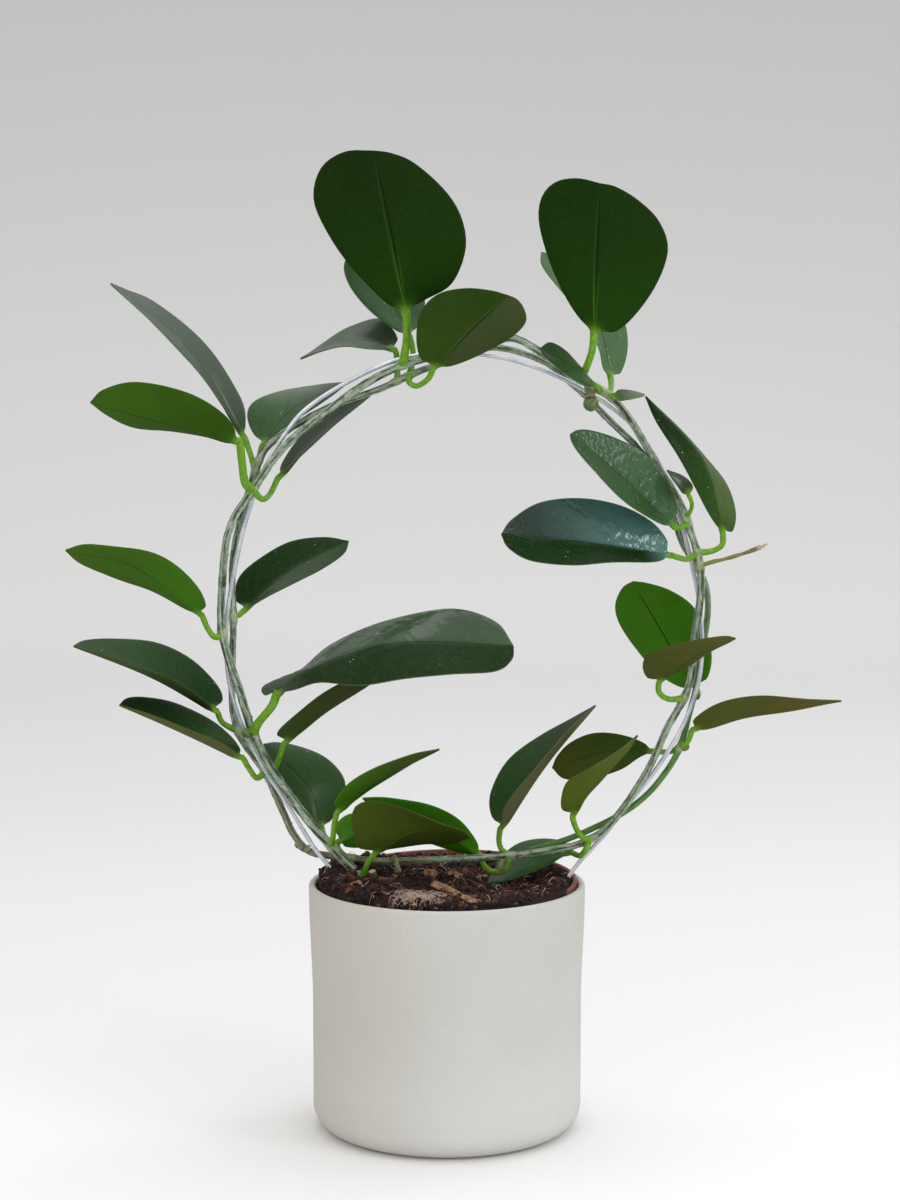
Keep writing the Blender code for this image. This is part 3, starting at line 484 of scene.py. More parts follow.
def peat():
    """Almost black when damp, rust-brown where it dries, with pale threads caught in it."""
    finish = Finish("peat", roughness=0.95)
    patch = finish.noise(60.0, 4.0, roughness=0.7)
    grain = finish.noise(900.0, 5.0, roughness=0.75)
    body = finish.mix(patch.step(0.38, 0.66), (22, 12, 9), (52, 30, 22))
    body = finish.mix(grain.step(0.55, 0.8) * 0.5, body, (84, 54, 42))
    return finish.feed(base_color=body, normal=finish.relief(grain, 0.5 * MM))


points = [leaned((NURSERY_OFFSET, 0, mix_foot))]
for radius, height in ((foot_radius, mix_foot), (top_radius - MIX_GAP, MIX_SHOULDER)):
    points += [leaned((NURSERY_OFFSET + radius * math.cos(angle), radius * math.sin(angle), height))
               for angle in full_turn(MIX_SIDES)]
for ring in range(MIX_RINGS + 1, 0, -1):
    for angle in full_turn(MIX_SIDES):
        hang = MIX_GAP + SPILL_HANG * spilled(angle) if ring > MIX_RINGS else 0.0
        spot = on_top(angle, mix_reach(angle) * min(ring / MIX_RINGS, 1.0), 1.0)
        points.append(spot - Vector((0, 0, hang)))
points.append(on_top(0, 0, 1.0))
add_piece("peat_surface", points, bowl_faces(len(points), MIX_SIDES), peat(), "peat_mix", ["potting_mix"])


def crumb_shape(size):
    """Corners and faces of a small uneven lump."""
    golden = (1 + math.sqrt(5)) / 2
    corners = [((near, far, 0), (0, near, far), (far, 0, near))[turn]
               for turn in range(3) for far in (golden, -golden) for near in (-1, 1)]
    skin = [(0, 11, 5), (0, 5, 1), (0, 1, 7), (0, 7, 10), (0, 10, 11), (1, 5, 9), (5, 11, 4), (11, 10, 2),
            (10, 7, 6), (7, 1, 8), (3, 9, 4), (3, 4, 2), (3, 2, 6), (3, 6, 8), (3, 8, 9), (4, 9, 5),
            (2, 4, 11), (6, 2, 10), (8, 6, 7), (9, 8, 1)]
    stretch = Vector((mix_draw.uniform(0.6, 1.5), mix_draw.uniform(0.6, 1.2), mix_draw.uniform(0.5, 0.9)))
    spin = Vector([mix_draw.uniform(-1, 1) for _ in range(3)]).to_track_quat("Z", "Y")
    shaped = []
    for corner in corners:
        point = Vector(corner).normalized() * size * mix_draw.uniform(0.65, 1.15) * stretch
        point.rotate(spin)
        shaped.append(point)
    return shaped, skin


def tinted(name, stops, grain_scale, roughness, depth):
    """Dry plant matter whose scraps each take their own shade between three colours."""
    finish = Finish(name, roughness=roughness)
    shade = finish.layer("tint")
    grain = finish.noise(grain_scale, 3.0)
    body = finish.mix(shade.step(0.0, 0.6), stops[0], stops[1])
    body = finish.mix(shade.step(0.6, 1.0), body, stops[2])
    body = finish.mix(grain.step(0.4, 0.8) * 0.35, body, stops[0])
    return finish.feed(base_color=body, normal=finish.relief(grain, depth))


def gather(points, faces, scrap, skin):
    """Adds the points and faces of one scrap to those of its piece."""
    faces += [tuple(corner + len(points) for corner in side) for side in skin]
    points += scrap


points, faces, tints = [], [], []
for index in range(CRUMBS):
    on_rim = index % 4 == 0
    where = on_front_rim() if on_rim else on_mix()
    size = mix_draw.triangular(0.4, 3.0, 0.7) * MM * (0.8 if on_rim else 1.0)
    corners, skin = crumb_shape(size)
    lift = Vector((0, 0, size * mix_draw.uniform(0.1, 0.55)))
    gather(points, faces, [corner + where + lift for corner in corners], skin)
    tints += [mix_draw.random() ** 3] * len(corners)
crumb_finish = tinted("crumb", ((24, 13, 10), (56, 32, 24), (112, 74, 54)), 1200.0, 0.95, 0.25 * MM)
add_piece("peat_crumbs", points, faces, crumb_finish, "peat_mix", layers={"tint": tints}, sharp=25)


def lengths_along(points):
    """Length of a route up to each of its points."""
    lengths = [0.0]
    for start, end in zip(points, points[1:]):
        lengths.append(lengths[-1] + (end - start).length)
    return lengths


def smooth_route(points, spacing):
    """Even points along a smooth curve that passes through every given point."""
    ends = [points[0] * 2 - points[1]] + list(points) + [points[-1] * 2 - points[-2]]
    fine = []
    steps = 12
    for before, start, end, after in zip(ends, ends[1:], ends[2:], ends[3:]):
        for t in [step / steps for step in range(steps)]:
            fine.append(0.5 * (2 * start + (end - before) * t
                               + (2 * before - 5 * start + 4 * end - after) * t * t
                               + (3 * start - before - 3 * end + after) * t * t * t))
    fine.append(points[-1].copy())
    lengths = lengths_along(fine)
    count = max(2, round(lengths[-1] / spacing))
    even = []
    place = 0
    for index in range(count + 1):
        target = lengths[-1] * index / count
        while place < len(fine) - 2 and lengths[place + 1] < target:
            place += 1
        share = (target - lengths[place]) / max(lengths[place + 1] - lengths[place], 1e-9)
        even.append(fine[place].lerp(fine[place + 1], min(max(share, 0.0), 1.0)))
    return even


def directions(route):
    """Unit direction of a route at each of its points."""
    ahead = route[1:] + route[-1:]
    behind = route[:1] + route[:-1]
    return [(after - before).normalized() for before, after in zip(behind, ahead)]


def tube_faces(rings, sides):
    """Faces of a closed tube of rings, with its two ends."""
    faces = [face for ring in range(rings - 1) for face in band(ring * sides, (ring + 1) * sides, sides)]
    return faces + [tuple(reversed(range(sides))), tuple(range((rings - 1) * sides, rings * sides))]


def tube(route, radius_at, sides):
    """Points and faces of a closed tube; radius_at gives the radius at a ring's number and angle."""
    headings = directions(route)
    side = headings[0].orthogonal().normalized()
    points = []
    for ring, (centre, heading) in enumerate(zip(route, headings)):
        side = (side - heading * side.dot(heading)).normalized()
        other = heading.cross(side)
        points += [centre + (side * math.cos(angle) + other * math.sin(angle)) * radius_at(ring, angle)
                   for angle in full_turn(sides)]
    return points, tube_faces(len(route), sides)


points, faces, tints = [], [], []
for index in range(FIBRES):
    in_tangle = index % 4 == 1
    where = on_front_rim() if index % 5 == 0 else on_mix(0.97)
    if in_tangle:
        across = mix_draw.gauss(TANGLE[0], TANGLE[2])
        depth = max(mix_draw.gauss(TANGLE[1], TANGLE[3]), -60 * MM)
        where = Vector((across, depth, mix_height(across - NURSERY_OFFSET, depth, 0.3)))
    heading = mix_draw.uniform(0, 2 * math.pi)
    curl = mix_draw.uniform(-0.5, 0.5)
    length = mix_draw.triangular(4, 17, 7) * MM
    rise = mix_draw.uniform(0.5, 3.0) * MM + (1.2 * MM if in_tangle else 0.0)
    route = [where]
    for step in range(1, FIBRE_STEPS + 1):
        heading += curl + mix_draw.uniform(-0.35, 0.35)
        spot = route[-1] + Vector((math.cos(heading), math.sin(heading), 0)) * length / FIBRE_STEPS
        reach = Vector((spot.x - NURSERY_OFFSET, spot.y))
        if reach.length > mix_reach(math.atan2(reach.y, reach.x)) - FIBRE_CLEAR:
            break
        ground = mix_height(reach.x, reach.y, 0.3)
        spot.z = ground + rise * math.sin(math.pi * step / FIBRE_STEPS) + FIBRE_LIFT
        route.append(spot)
    if len(route) < 4:
        continue
    thickness = mix_draw.uniform(0.07, 0.13 if in_tangle else 0.19) * MM
    strand, skin = tube(route, lambda ring, angle: thickness, 4)
    gather(points, faces, strand, skin)
    tints += [mix_draw.uniform(0.75, 1.0) if in_tangle else mix_draw.random() ** 1.6] * len(strand)
fibre_finish = tinted("coir", ((62, 30, 22), (122, 70, 52), (226, 204, 190)), 700.0, 0.85, 0.05 * MM)
add_piece("coir_fibres", points, faces, fibre_finish, "peat_mix", layers={"tint": tints})

# Bark chips, as the picture shows them. Each has two ends in pixels, the second lying on the mix, and
# in mm its lift, how much farther away the first end is, and the chip's width and height.
CHIP_RINGS = 9
CHIP_SIDES = 8
CHIP_TAPER = 0.16
CHIP_DEPTHS = (-60.0, 60.0)
CHIP_DEPTH_STEP = 0.5
BARK_CHIPS = [
    ((434, 884), (460, 896), 1.6, 15, 5.5, 4.0), ((463, 897), (476, 903), 1.2, 7, 4.5, 2.8),
    ((425, 873), (436, 875), 2.0, 2, 6.0, 4.6), ((450, 873), (461, 877), 1.6, 5, 5.0, 3.0),
    ((550, 885), (566, 881), 1.2, -6, 3.4, 1.8), ((385, 880), (396, 876), 2.0, -5, 3.4, 2.2),
    ((503, 897), (514, 893), 1.2, -5, 3.4, 2.0), ((350, 886), (360, 882), 1.2, -5, 3.6, 2.2),
    ((476, 878), (487, 876), 1.4, -3, 3.0, 1.8), ((405, 902), (418, 905), 1.2, 4, 3.2, 1.8)]


def on_mix_seen(across, down, lift):
    """Where the eye's ray through a pixel meets the mix lifted by some millimetres, and its depth."""
    depth, farthest = CHIP_DEPTHS
    spot = seen(across, down, depth)
    while depth < farthest and spot.z > mix_height(spot.x - NURSERY_OFFSET, spot.y, 0.0) + lift * MM:
        depth += CHIP_DEPTH_STEP
        spot = seen(across, down, depth)
    return spot, depth


def bark():
    """Pine bark: tan where it split, darker along its grain."""
    finish = Finish("bark_chip", roughness=0.85)
    streak = finish.streaks(finish.layer("along") * 3.0, finish.layer("across") * 26.0, 4.0, 0.65)
    body = finish.mix(streak.step(0.38, 0.6), (96, 60, 40), (206, 160, 120))
    body = finish.mix(finish.noise(300.0).step(0.55, 0.8) * 0.5, body, (72, 44, 30))
    return finish.feed(base_color=body, normal=finish.relief(streak, 0.8 * MM))


points, faces, layers = [], [], {"along": [], "across": []}
for first, second, lift, farther, width, height in BARK_CHIPS:
    near, depth = on_mix_seen(*second, lift)
    far = seen(*first, depth + farther)
    uneven = [mix_draw.uniform(0.8, 1.1) * (1.0 if index % 2 else 1.12) for index in range(CHIP_SIDES)]
    heading = (near - far).normalized()
    flat = Vector((-heading.y, heading.x, 0)).normalized()
    up = heading.cross(flat) * -1
    chip = []
    for share in [ring / (CHIP_RINGS - 1) for ring in range(CHIP_RINGS)]:
        taper = 1 - CHIP_TAPER * abs(2 * share - 1) ** 3
        for angle, bump in zip(full_turn(CHIP_SIDES), uneven):
            swell = taper * bump * mix_draw.uniform(0.86, 1.1)
            spread = flat * math.cos(angle) * width + up * math.sin(angle) * height
            chip.append(far.lerp(near, share) + spread * 0.5 * MM * swell)
            layers["along"].append(share)
            layers["across"].append(angle / (2 * math.pi))
    gather(points, faces, chip, tube_faces(CHIP_RINGS, CHIP_SIDES))
add_piece("bark_chips", points, faces, bark(), "peat_mix", layers=layers, sharp=24)


# The hoop. One length of bright galvanised wire, bent by hand into a rough circle, with both ends
# pushed down through the mix. It carries the vine and stays a little uneven where it was bent.
WIRE_RADIUS = 1.1 * MM
WIRE_SIDES = 14
WIRE_STEP = 2 * MM
ROUTE_STEP = 11 * MM
WIRE_SEEN = [
    (347, 930), (343, 905), (339, 884), (331, 869), (319, 855), (300, 825), (283, 797), (268, 775),
    (250, 742), (238, 715), (229, 680), (226, 643), (228, 607), (238, 553), (246, 520), (262, 474),
    (281, 440), (304, 411), (344, 384), (391, 362), (435, 353), (476, 354), (516, 361), (557, 376),
    (592, 395), (624, 417), (645, 442), (662, 470), (677, 508), (690, 556), (699, 600), (702, 640),
    (699, 680), (686, 719), (670, 748), (655, 771), (642, 787), (629, 803), (610, 828), (595, 845),
    (585, 857), (575, 867), (567, 880), (562, 900), (557, 925)]


def galvanised():
    """Zinc-bright wire, dulled in faint patches."""
    finish = Finish("galvanised_wire", metallic=0.55, roughness=0.2)
    patch = finish.noise(140.0, 3.0)
    body = finish.mix(patch.step(0.35, 0.7), (244, 246, 252), (206, 214, 230))
    return finish.feed(base_color=body, roughness=0.16 + patch * 0.2,
                       normal=finish.relief(finish.noise(500.0), 0.03 * MM))


wire = smooth_route([seen(across, down, 0) for across, down in WIRE_SEEN], ROUTE_STEP)
close_wire = smooth_route(wire, WIRE_STEP)
points, faces = tube(close_wire, lambda ring, angle: WIRE_RADIUS, WIRE_SIDES)
add_piece("galvanised_hoop", points, faces, galvanised(), "wire", ["wire_hoop"])


# The vine. One woody stem that climbs out of the mix, goes round the near side of the wire, crosses
# the pot and goes round again on the far side to a soft green end. It is ridged, and old at its foot.
VINE_BASE_RADIUS = 2.25 * MM
VINE_OLD_RADIUS = 1.8 * MM
VINE_YOUNG_RADIUS = 1.4 * MM
VINE_FOOT_SHARE = 0.12
VINE_LEAN = 4.4 * MM
VINE_LEAST_DEPTH = 2.7 * MM
NODE_SWELLING = 0.5 * MM
NODE_LENGTH = 3.0 * MM
VINE_FINENESS = 10
VINE_SIDES = 24
RIDGES = 4
FURROW_DEPTH = 0.1
LUMP_DEPTH = 0.12
ROOTED = [(378, 918, -6.5), (372, 900, -6.2), (366, 888, -5.8), (360, 877, -5.2), (345, 862, -4.7)]
FIRST_LAP = [
    (330, 845), (313, 826), (297, 806), (284, 788), (272, 770), (262, 752), (254, 735), (247, 715),
    (240, 692), (230, 662), (222, 632), (221, 605), (223, 575), (226, 542), (236, 514), (253, 490),
    (270, 464), (286, 445), (304, 429), (324, 414), (350, 394), (377, 377), (400, 366), (430, 357),
    (460, 349), (490, 343), (513, 338), (539, 351), (560, 366), (583, 382), (606, 393), (626, 414),
    (642, 439), (665, 478), (681, 505), (693, 540), (700, 562), (701, 585), (699, 610), (694, 640),
    (692, 672), (684, 698), (668, 726), (651, 764), (629, 800), (612, 822), (589, 841)]
ACROSS_THE_POT = [
    (572, 846, -4.2), (542, 851, -3), (510, 856, -1), (470, 858, 1), (435, 860, 2.6), (400, 861, 3.4),
    (372, 861, 3.8), (349, 858, 3.8), (325, 855, 3.6), (307, 850, 3.4)]
SECOND_LAP = [
    (296, 838), (286, 818), (277, 798), (266, 773), (254, 757), (241, 738), (233, 712), (232, 680),
    (233, 640), (233, 605), (232, 570), (236, 540), (244, 508), (256, 469), (266, 448), (284, 433),
    (306, 419), (334, 405), (366, 394), (392, 384), (409, 375), (440, 364), (470, 353), (495, 347),
    (527, 355), (547, 363), (566, 379), (588, 398), (609, 420), (634, 444), (655, 472), (670, 506),
    (682, 542), (696, 566), (707, 590), (707, 620), (702, 650), (697, 684), (688, 718), (680, 748),
    (668, 768), (657, 784), (642, 799), (623, 813), (604, 823), (585, 832), (565, 840), (546, 846)]
YOUNG_END = [(530, 850, 5.5)]
NODES = {
    "foot": (1, 361, 879), "low_left": (1, 331, 846), "left": (1, 222, 634), "shoulder": (1, 253, 490),
    "crown": (1, 404, 365), "crest": (1, 579, 380), "twin": (1, 600, 390), "twin_right": (1, 611, 398),
    "upper_right": (1, 687, 523), "bud": (1, 685, 515), "right": (1, 698, 553), "stalk": (1, 701, 566),
    "lower_right": (1, 684, 698), "rim_right": (1, 589, 841), "middle": (1, 510, 856),
    "rim_left": (1, 350, 858), "thick": (1, 252, 731), "knee": (2, 266, 773), "low_bend": (2, 238, 733),
    "left_far": (2, 233, 617), "fork": (2, 254, 472), "fork_right": (2, 260, 462),
    "crown_far": (2, 409, 375), "last": (2, 680, 748), "crown_back": (2, 397, 382),
    "crest_far": (1, 607, 394)}


def beside_wire(spots, side):
    """Points of one lap, leaning on the near (-1) or the far (1) side of the wire."""
    result = []
    for across, down in spots:
        flat = seen(across, down, 0)
        apart = min((flat - point).length for point in close_wire)
        depth = math.sqrt(max(VINE_LEAN ** 2 - apart ** 2, 0.0))
        result.append(seen(across, down, side * max(depth, VINE_LEAST_DEPTH) / MM))
    return result


def vine_finish():
    """Grey-green corky bark with painted shade in its furrows, browner at the foot of the second lap, turning
    to smooth green skin.
    """
    finish = Finish("vine_bark", roughness=0.6, specular_ior_level=0.35)
    age = finish.layer("along")
    ridge = finish.layer("ridge")
    swelling = finish.layer("node")
    cork = finish.noise(230.0, 5.0, roughness=0.72)
    fleck = finish.noise(640.0, 4.0, roughness=0.7)
    streak = finish.streaks(age * 210.0, finish.layer("turn") * 6.0, 5.0, 0.75)
    # Painted shade and light: dark in the furrows between the ridges, pale on the ridge tops.
    bark = finish.mix(ridge.step(0.1, 0.75), (50, 62, 40), (142, 162, 136))
    bark = finish.mix(streak.step(0.46, 0.66) * 0.7, bark, (196, 210, 194))
    bark = finish.mix(cork.step(0.5, 0.66) * 0.75, bark, (80, 88, 60))
    bark = finish.mix(fleck.step(0.6, 0.74) * 0.7, bark, (52, 50, 34))
    brown = finish.mix(streak.step(0.35, 0.65), (80, 74, 48), (140, 134, 104))
    bark = finish.mix((age - 0.54).size().step(0.05, 0.015) * 0.7, bark, brown)
    skin = finish.mix(streak.step(0.3, 0.7), (60, 104, 40), (104, 146, 78))
    green = finish.mix(age.step(0.84, 0.93), bark, skin)
    green = finish.mix(swelling.step(0.3, 0.9) * 0.55, green, (168, 178, 138))
    height = streak * 0.6 + cork * 0.8
    return finish.feed(base_color=green, roughness=0.45 + fleck * 0.25,
                       normal=finish.relief(height, 0.45 * MM))


def point_at(route, place):
    """Point at a place counted in a route's steps."""
    index = min(int(place), len(route) - 2)
    return route[index].lerp(route[index + 1], place - index)


coarse = [seen(*spot) for spot in ROOTED] + beside_wire(FIRST_LAP, -1)
coarse += [seen(*spot) for spot in ACROSS_THE_POT] + beside_wire(SECOND_LAP, 1)
coarse += [seen(*spot) for spot in YOUNG_END]
vine_route = smooth_route(coarse, ROUTE_STEP)
half_way = len(vine_route) // 2
node_places = {}
for name, (lap, across, down) in NODES.items():
    start = half_way if lap == 2 else 0
    stretch = vine_route[start:] if lap == 2 else vine_route[:half_way + len(vine_route) // 10]
    target = seen(across, down, 0)
    tenths = [index / 10 for index in range(10 * len(stretch) - 9)]
    node_places[name] = start + min(tenths, key=lambda place: (point_at(stretch, place) - target).length)


def vine_radius(place):
    """Mean radius at a place on the vine, counted in coarse steps from its foot."""
    share = place / (len(vine_route) - 1)
    spacing = (vine_route[1] - vine_route[0]).length
    if share < VINE_FOOT_SHARE:
        radius = VINE_BASE_RADIUS + (VINE_OLD_RADIUS - VINE_BASE_RADIUS) * share / VINE_FOOT_SHARE
    else:
        younger = (share - VINE_FOOT_SHARE) / (1 - VINE_FOOT_SHARE)
        radius = VINE_OLD_RADIUS + (VINE_YOUNG_RADIUS - VINE_OLD_RADIUS) * younger
    nearest = min(abs(place - node) for node in node_places.values()) * spacing
    return radius, math.exp(-(nearest / NODE_LENGTH) ** 2)


vine_line = smooth_route(vine_route, ROUTE_STEP / VINE_FINENESS)
vine_shares = [ring / (len(vine_line) - 1) for ring in range(len(vine_line))]
ring_facts = [(share, *vine_radius(share * (len(vine_route) - 1))) for share in vine_shares]
layers = {"along": [], "ridge": [], "node": [], "turn": []}


def bark_radius(ring, angle):
    """Radius of the vine's skin: rounded ridges with furrows between them, and shallow corky lumps."""
    share, radius, swelling = ring_facts[ring]
    wander = noise.noise(Vector((math.cos(angle), math.sin(angle), ring * 0.045))) * 1.6
    ridge = 0.5 + 0.5 * math.cos(angle * RIDGES + ring * 0.03 + wander * 2)
    old = 1 - eased((share - 0.8) / 0.15)
    lump = noise.noise(Vector((math.cos(angle), math.sin(angle), ring * 0.22)) * 1.7)
    layers["along"].append(share)
    layers["ridge"].append(ridge * old + (1 - old) * 0.5)
    layers["node"].append(swelling)
    layers["turn"].append(angle / (2 * math.pi))
    furrow = (ridge - 0.5) * FURROW_DEPTH * (0.25 + 0.75 * old)
    return (radius + NODE_SWELLING * swelling) * (1.06 + furrow + lump * LUMP_DEPTH * old)


points, faces = tube(vine_line, bark_radius, VINE_SIDES)
add_piece("woody_vine", points, faces, vine_finish(), "stem_bark", ["vine_stem"], layers=layers)


# Roots and spurs on the vine: pale root nubs on its old wood, a root that reached the mix, a dead
# side shoot, the round spur of an old flower cluster, and the bud at the last node.
NUB_PLACES = 150
KNOB_STEPS = 16
SPURS = [
    ("aerial_root", [(393, 856, 3), (396, 863, 2), (398, 872, 1)], (1.7, 1.3, 1.9)),
    ("dead_side_shoot", [(309, 849, 3), (303, 848, 2), (296, 844, 0)], (1.9, 1.7, 1.3)),
    ("root_behind_stalk", [(503, 859, -1), (501, 864, -1), (500, 869, -1)], (1.7, 2.0, 1.8)),
    ("flower_spur_neck", [(588, 386, -4), (590, 392, -7), (591, 399, -9)], (2.0, 2.2, 2.6))]
spur_draw = random.Random(5)

points, faces, tints = [], [], []
for _ in range(NUB_PLACES):
    ring = int(len(vine_line) * spur_draw.uniform(0.02, 0.86))
    heading = (vine_line[ring + 1] - vine_line[ring]).normalized()
    side = heading.orthogonal().normalized()
    angle = spur_draw.uniform(0, 2 * math.pi)
    out = side * math.cos(angle) + heading.cross(side) * math.sin(angle)
    radius = ring_facts[ring][1]
    reach = spur_draw.uniform(0.25, 0.9) * MM
    width = spur_draw.uniform(0.28, 0.5) * MM
    route = [vine_line[ring] + out * (radius * 0.7 + step)
             for step in (0.0, radius * 0.3 + reach * 0.6, radius * 0.3 + reach)]
    nub, skin = tube(route, lambda ring_index, _: width * (1.0, 0.8, 0.35)[ring_index], 7)
    gather(points, faces, nub, skin)
    tints += [spur_draw.random()] * len(nub)
nub_finish = tinted("root_nub", ((110, 96, 66), (150, 146, 116), (206, 206, 184)), 900.0, 0.8, 0.08 * MM)
add_piece("root_nubs", points, faces, nub_finish, "stem_bark", layers={"tint": tints})


def spur_finish(name, dark, light):
    """Flecked skin of a spur or bud, between two colours."""
    finish = Finish(name, roughness=0.6)
    fleck = finish.noise(500.0, 4.0, roughness=0.7)
    body = finish.mix(fleck.step(0.3, 0.7), dark, light)
    return finish.feed(base_color=body, roughness=0.5 + fleck * 0.3, normal=finish.relief(fleck, 0.2 * MM))


woody_spur = spur_finish("spur_bark", (78, 78, 50), (150, 158, 122))
for name, spots, radii in SPURS:
    route = smooth_route([seen(*spot) for spot in spots], 0.6 * MM)
    last = len(route) - 1

    def spur_radius(ring, angle):
        share = ring / last * 2
        low = min(int(share), 1)
        radius = radii[low] + (radii[low + 1] - radii[low]) * (share - low)
        return radius * MM * (1 + 0.08 * math.sin(angle * 3 + ring) + 0.05 * math.sin(ring * 1.9))

    add_piece(name, *tube(route, spur_radius, 14), woody_spur, "stem_bark", sharp=60)


def add_knob(name, spot, radius, squash, finish):
    """A rounded knob with a shallow scar on its end."""
    rise = radius * squash
    profile = [(0.0, -rise)]
    for step in range(1, KNOB_STEPS):
        angle = -math.pi / 2 + math.pi * step / KNOB_STEPS
        dent = 0.9 if step == KNOB_STEPS - 1 else 1.0
        profile.append((radius * math.cos(angle), rise * math.sin(angle) * dent))
    knob, skin = turned(profile + [(0.0, rise * 0.84)], 28)
    lumpy = [seen(*spot) + point * (1 + 0.1 * noise.noise(point * 500)) for point in knob]
    add_piece(name, lumpy, skin, finish, "stem_bark")


green_spur = spur_finish("green_spur", (62, 82, 36), (112, 136, 74))
add_knob("flower_spur", (591, 404, -9), 3.7 * MM, 0.95, green_spur)
add_knob("last_bud", (684, 746, 3), 2.8 * MM, 0.9, green_spur)
add_knob("old_bud", (248, 733, -5), 2.9 * MM, 0.9, green_spur)


# The stump of a pruned shoot beside the vine's foot: brown bark round a pale flat cut. It stands
# in the mix, a short tube of wood whose last ring narrows a little where the shears went through.
CUT_STEM = [(377, 888, -4), (374, 879, -5), (372, 871, -6)]
CUT_STEM_RADIUS = 1.9 * MM
CUT_STEM_SIDES = 24


def cut_wood():
    """Flecked bark with the pale wood of the cut above it."""
    finish = Finish("cut_wood", roughness=0.75)
    fleck = finish.noise(600.0, 4.0)
    bark_colour = finish.mix(fleck.step(0.35, 0.7), (70, 58, 40), (128, 120, 84))
    body = finish.mix(finish.layer("end").step(0.4, 0.9), bark_colour, (196, 186, 144))
    return finish.feed(base_color=body, normal=finish.relief(fleck, 0.2 * MM))


route = smooth_route([seen(*spot) for spot in CUT_STEM], 0.8 * MM)
last = len(route) - 1
points, faces = tube(route, lambda ring, _: CUT_STEM_RADIUS * (0.9 if ring == last else 1.0), CUT_STEM_SIDES)
cut_end = [float(index >= last * CUT_STEM_SIDES) for index in range(len(points))]
add_piece("pruned_stump", points, faces, cut_wood(), "cut_wood", ["cut_stem"], layers={"end": cut_end},
          sharp=50)


# The leaves. Thick, waxy and smooth-edged, each on a round yellow-green stalk that runs on under the
# blade as its midrib. Upper faces are dark and satin with a fine crease; the undersides are paler.
BLADE_ROWS = 44
BLADE_HALF = 14
BLADE_REACH = 0.996
BLADE_OPENING = 6 * MM
PLAIN_WRINKLE = 0.2
PUCKERED_FINENESS = 3
PUCKER_DEPTH = 0.66 * MM
PUCKERS_PER_METRE = 600
LEAF_HALF_THICKNESS = 0.5 * MM
CREASE_DEPTH = 0.3 * MM
CREASE_WIDTH = 0.9 * MM
CREASE_RIDGE = 0.06 * MM
RIB_HEIGHT = 1.15
RIB_WIDTH = 0.85
EDGE_WAVE = 0.3 * MM
EDGE_WAVE_TURN = 11
FULL_WAVE_WIDTH = 12 * MM
STALK_STEP = 0.25 * MM
STALK_SEAT = 0.75
STALK_SWELL = 0.22
STALK_WAIST = 0.1
STALK_NEAR = 14 * MM
OUTLINE_STEP = 0.5 * MM
UPPER_BACK = (40, 66, 36)
UNDER_BACK = (62, 84, 40)
LEAVES = {}


def leaf(name, node, stalk, midrib, edges, fold=0.4, stalk_radius=1.5, shows="under", colour=(60, 90, 40),
         other=None, half=None, wax=0.5, rib=0.15, wrinkle=0.15, back=None):
    """Notes one leaf. Stalk and midrib are pixel across, pixel down and depth in mm behind the hoop;
    each edge is how far it lies behind the midrib in mm and its pixels from base to tip. shows is
    the face seen from the front, with its colour at the base, the other colour at the tip and, where
    the fold sets them apart, the colour of the second half, painted light and shade for how
    differently that half is lit; wax is how far its upper face shines, wrinkle how puckered it is,
    rib how strongly the painted glow of light through the midrib shows beneath, and back is its
    other face."""
    LEAVES[name] = SimpleNamespace(
        node=node, stalk=stalk, midrib=midrib, edges=edges, fold=fold, stalk_radius=stalk_radius * MM,
        shows=shows, colour=colour, other=other or colour, half=half, rib=rib, wrinkle=wrinkle,
        wax=wax if isinstance(wax, tuple) else (wax, wax),
        back=back or (UNDER_BACK if shows == "upper" else UPPER_BACK))


# Leaves at the upper left, from the nodes on the hoop's shoulder.
leaf("leaf_01", "fork", [(250, 453, 7)], [(245, 438, 8), (187, 348, 13), (110, 283, 12)],
     [(-15, [(224, 408), (200, 374), (175, 346), (150, 321), (128, 300)]),
      (17, [(245, 410), (236, 388), (216, 356), (190, 329), (152, 300), (128, 290)])], fold=0.6,
     shows="upper", colour=(44, 66, 40), other=(64, 80, 66), wax=0.6)
leaf("leaf_02", "shoulder", [(242, 462, -10), (245, 482, -9)],
     [(240, 441, -10), (165, 422, -17), (90, 402, -20)],
     [(-13, [(226, 416), (190, 393), (137, 382), (104, 389)]),
      (20, [(228, 443), (205, 436), (175, 432), (135, 428), (105, 414)])], fold=0.6, stalk_radius=2.1,
     colour=(50, 84, 14), other=(58, 96, 16))
leaf("leaf_03", "fork_right", [(259, 458, 8)], [(262, 446, 10), (292, 410, 17), (349, 382, 20)],
     [(13, [(250, 428), (247, 412), (256, 400), (285, 390), (320, 384)]),
      (-5, [(281, 432), (305, 414), (332, 396)])],
     shows="upper", colour=(58, 92, 50), other=(80, 96, 78), wax=0.6)
leaf("leaf_04", "shoulder", [(270, 494, 5), (262, 499, -5)],
     [(278, 478, 9), (316, 437, 12), (372, 394, 16)],
     [(14, [(284, 459), (310, 426), (345, 401)]), (-14, [(294, 463), (325, 433), (352, 411)])], fold=0.8,
     shows="upper", colour=(44, 66, 34), other=(50, 68, 42), wax=0.3)

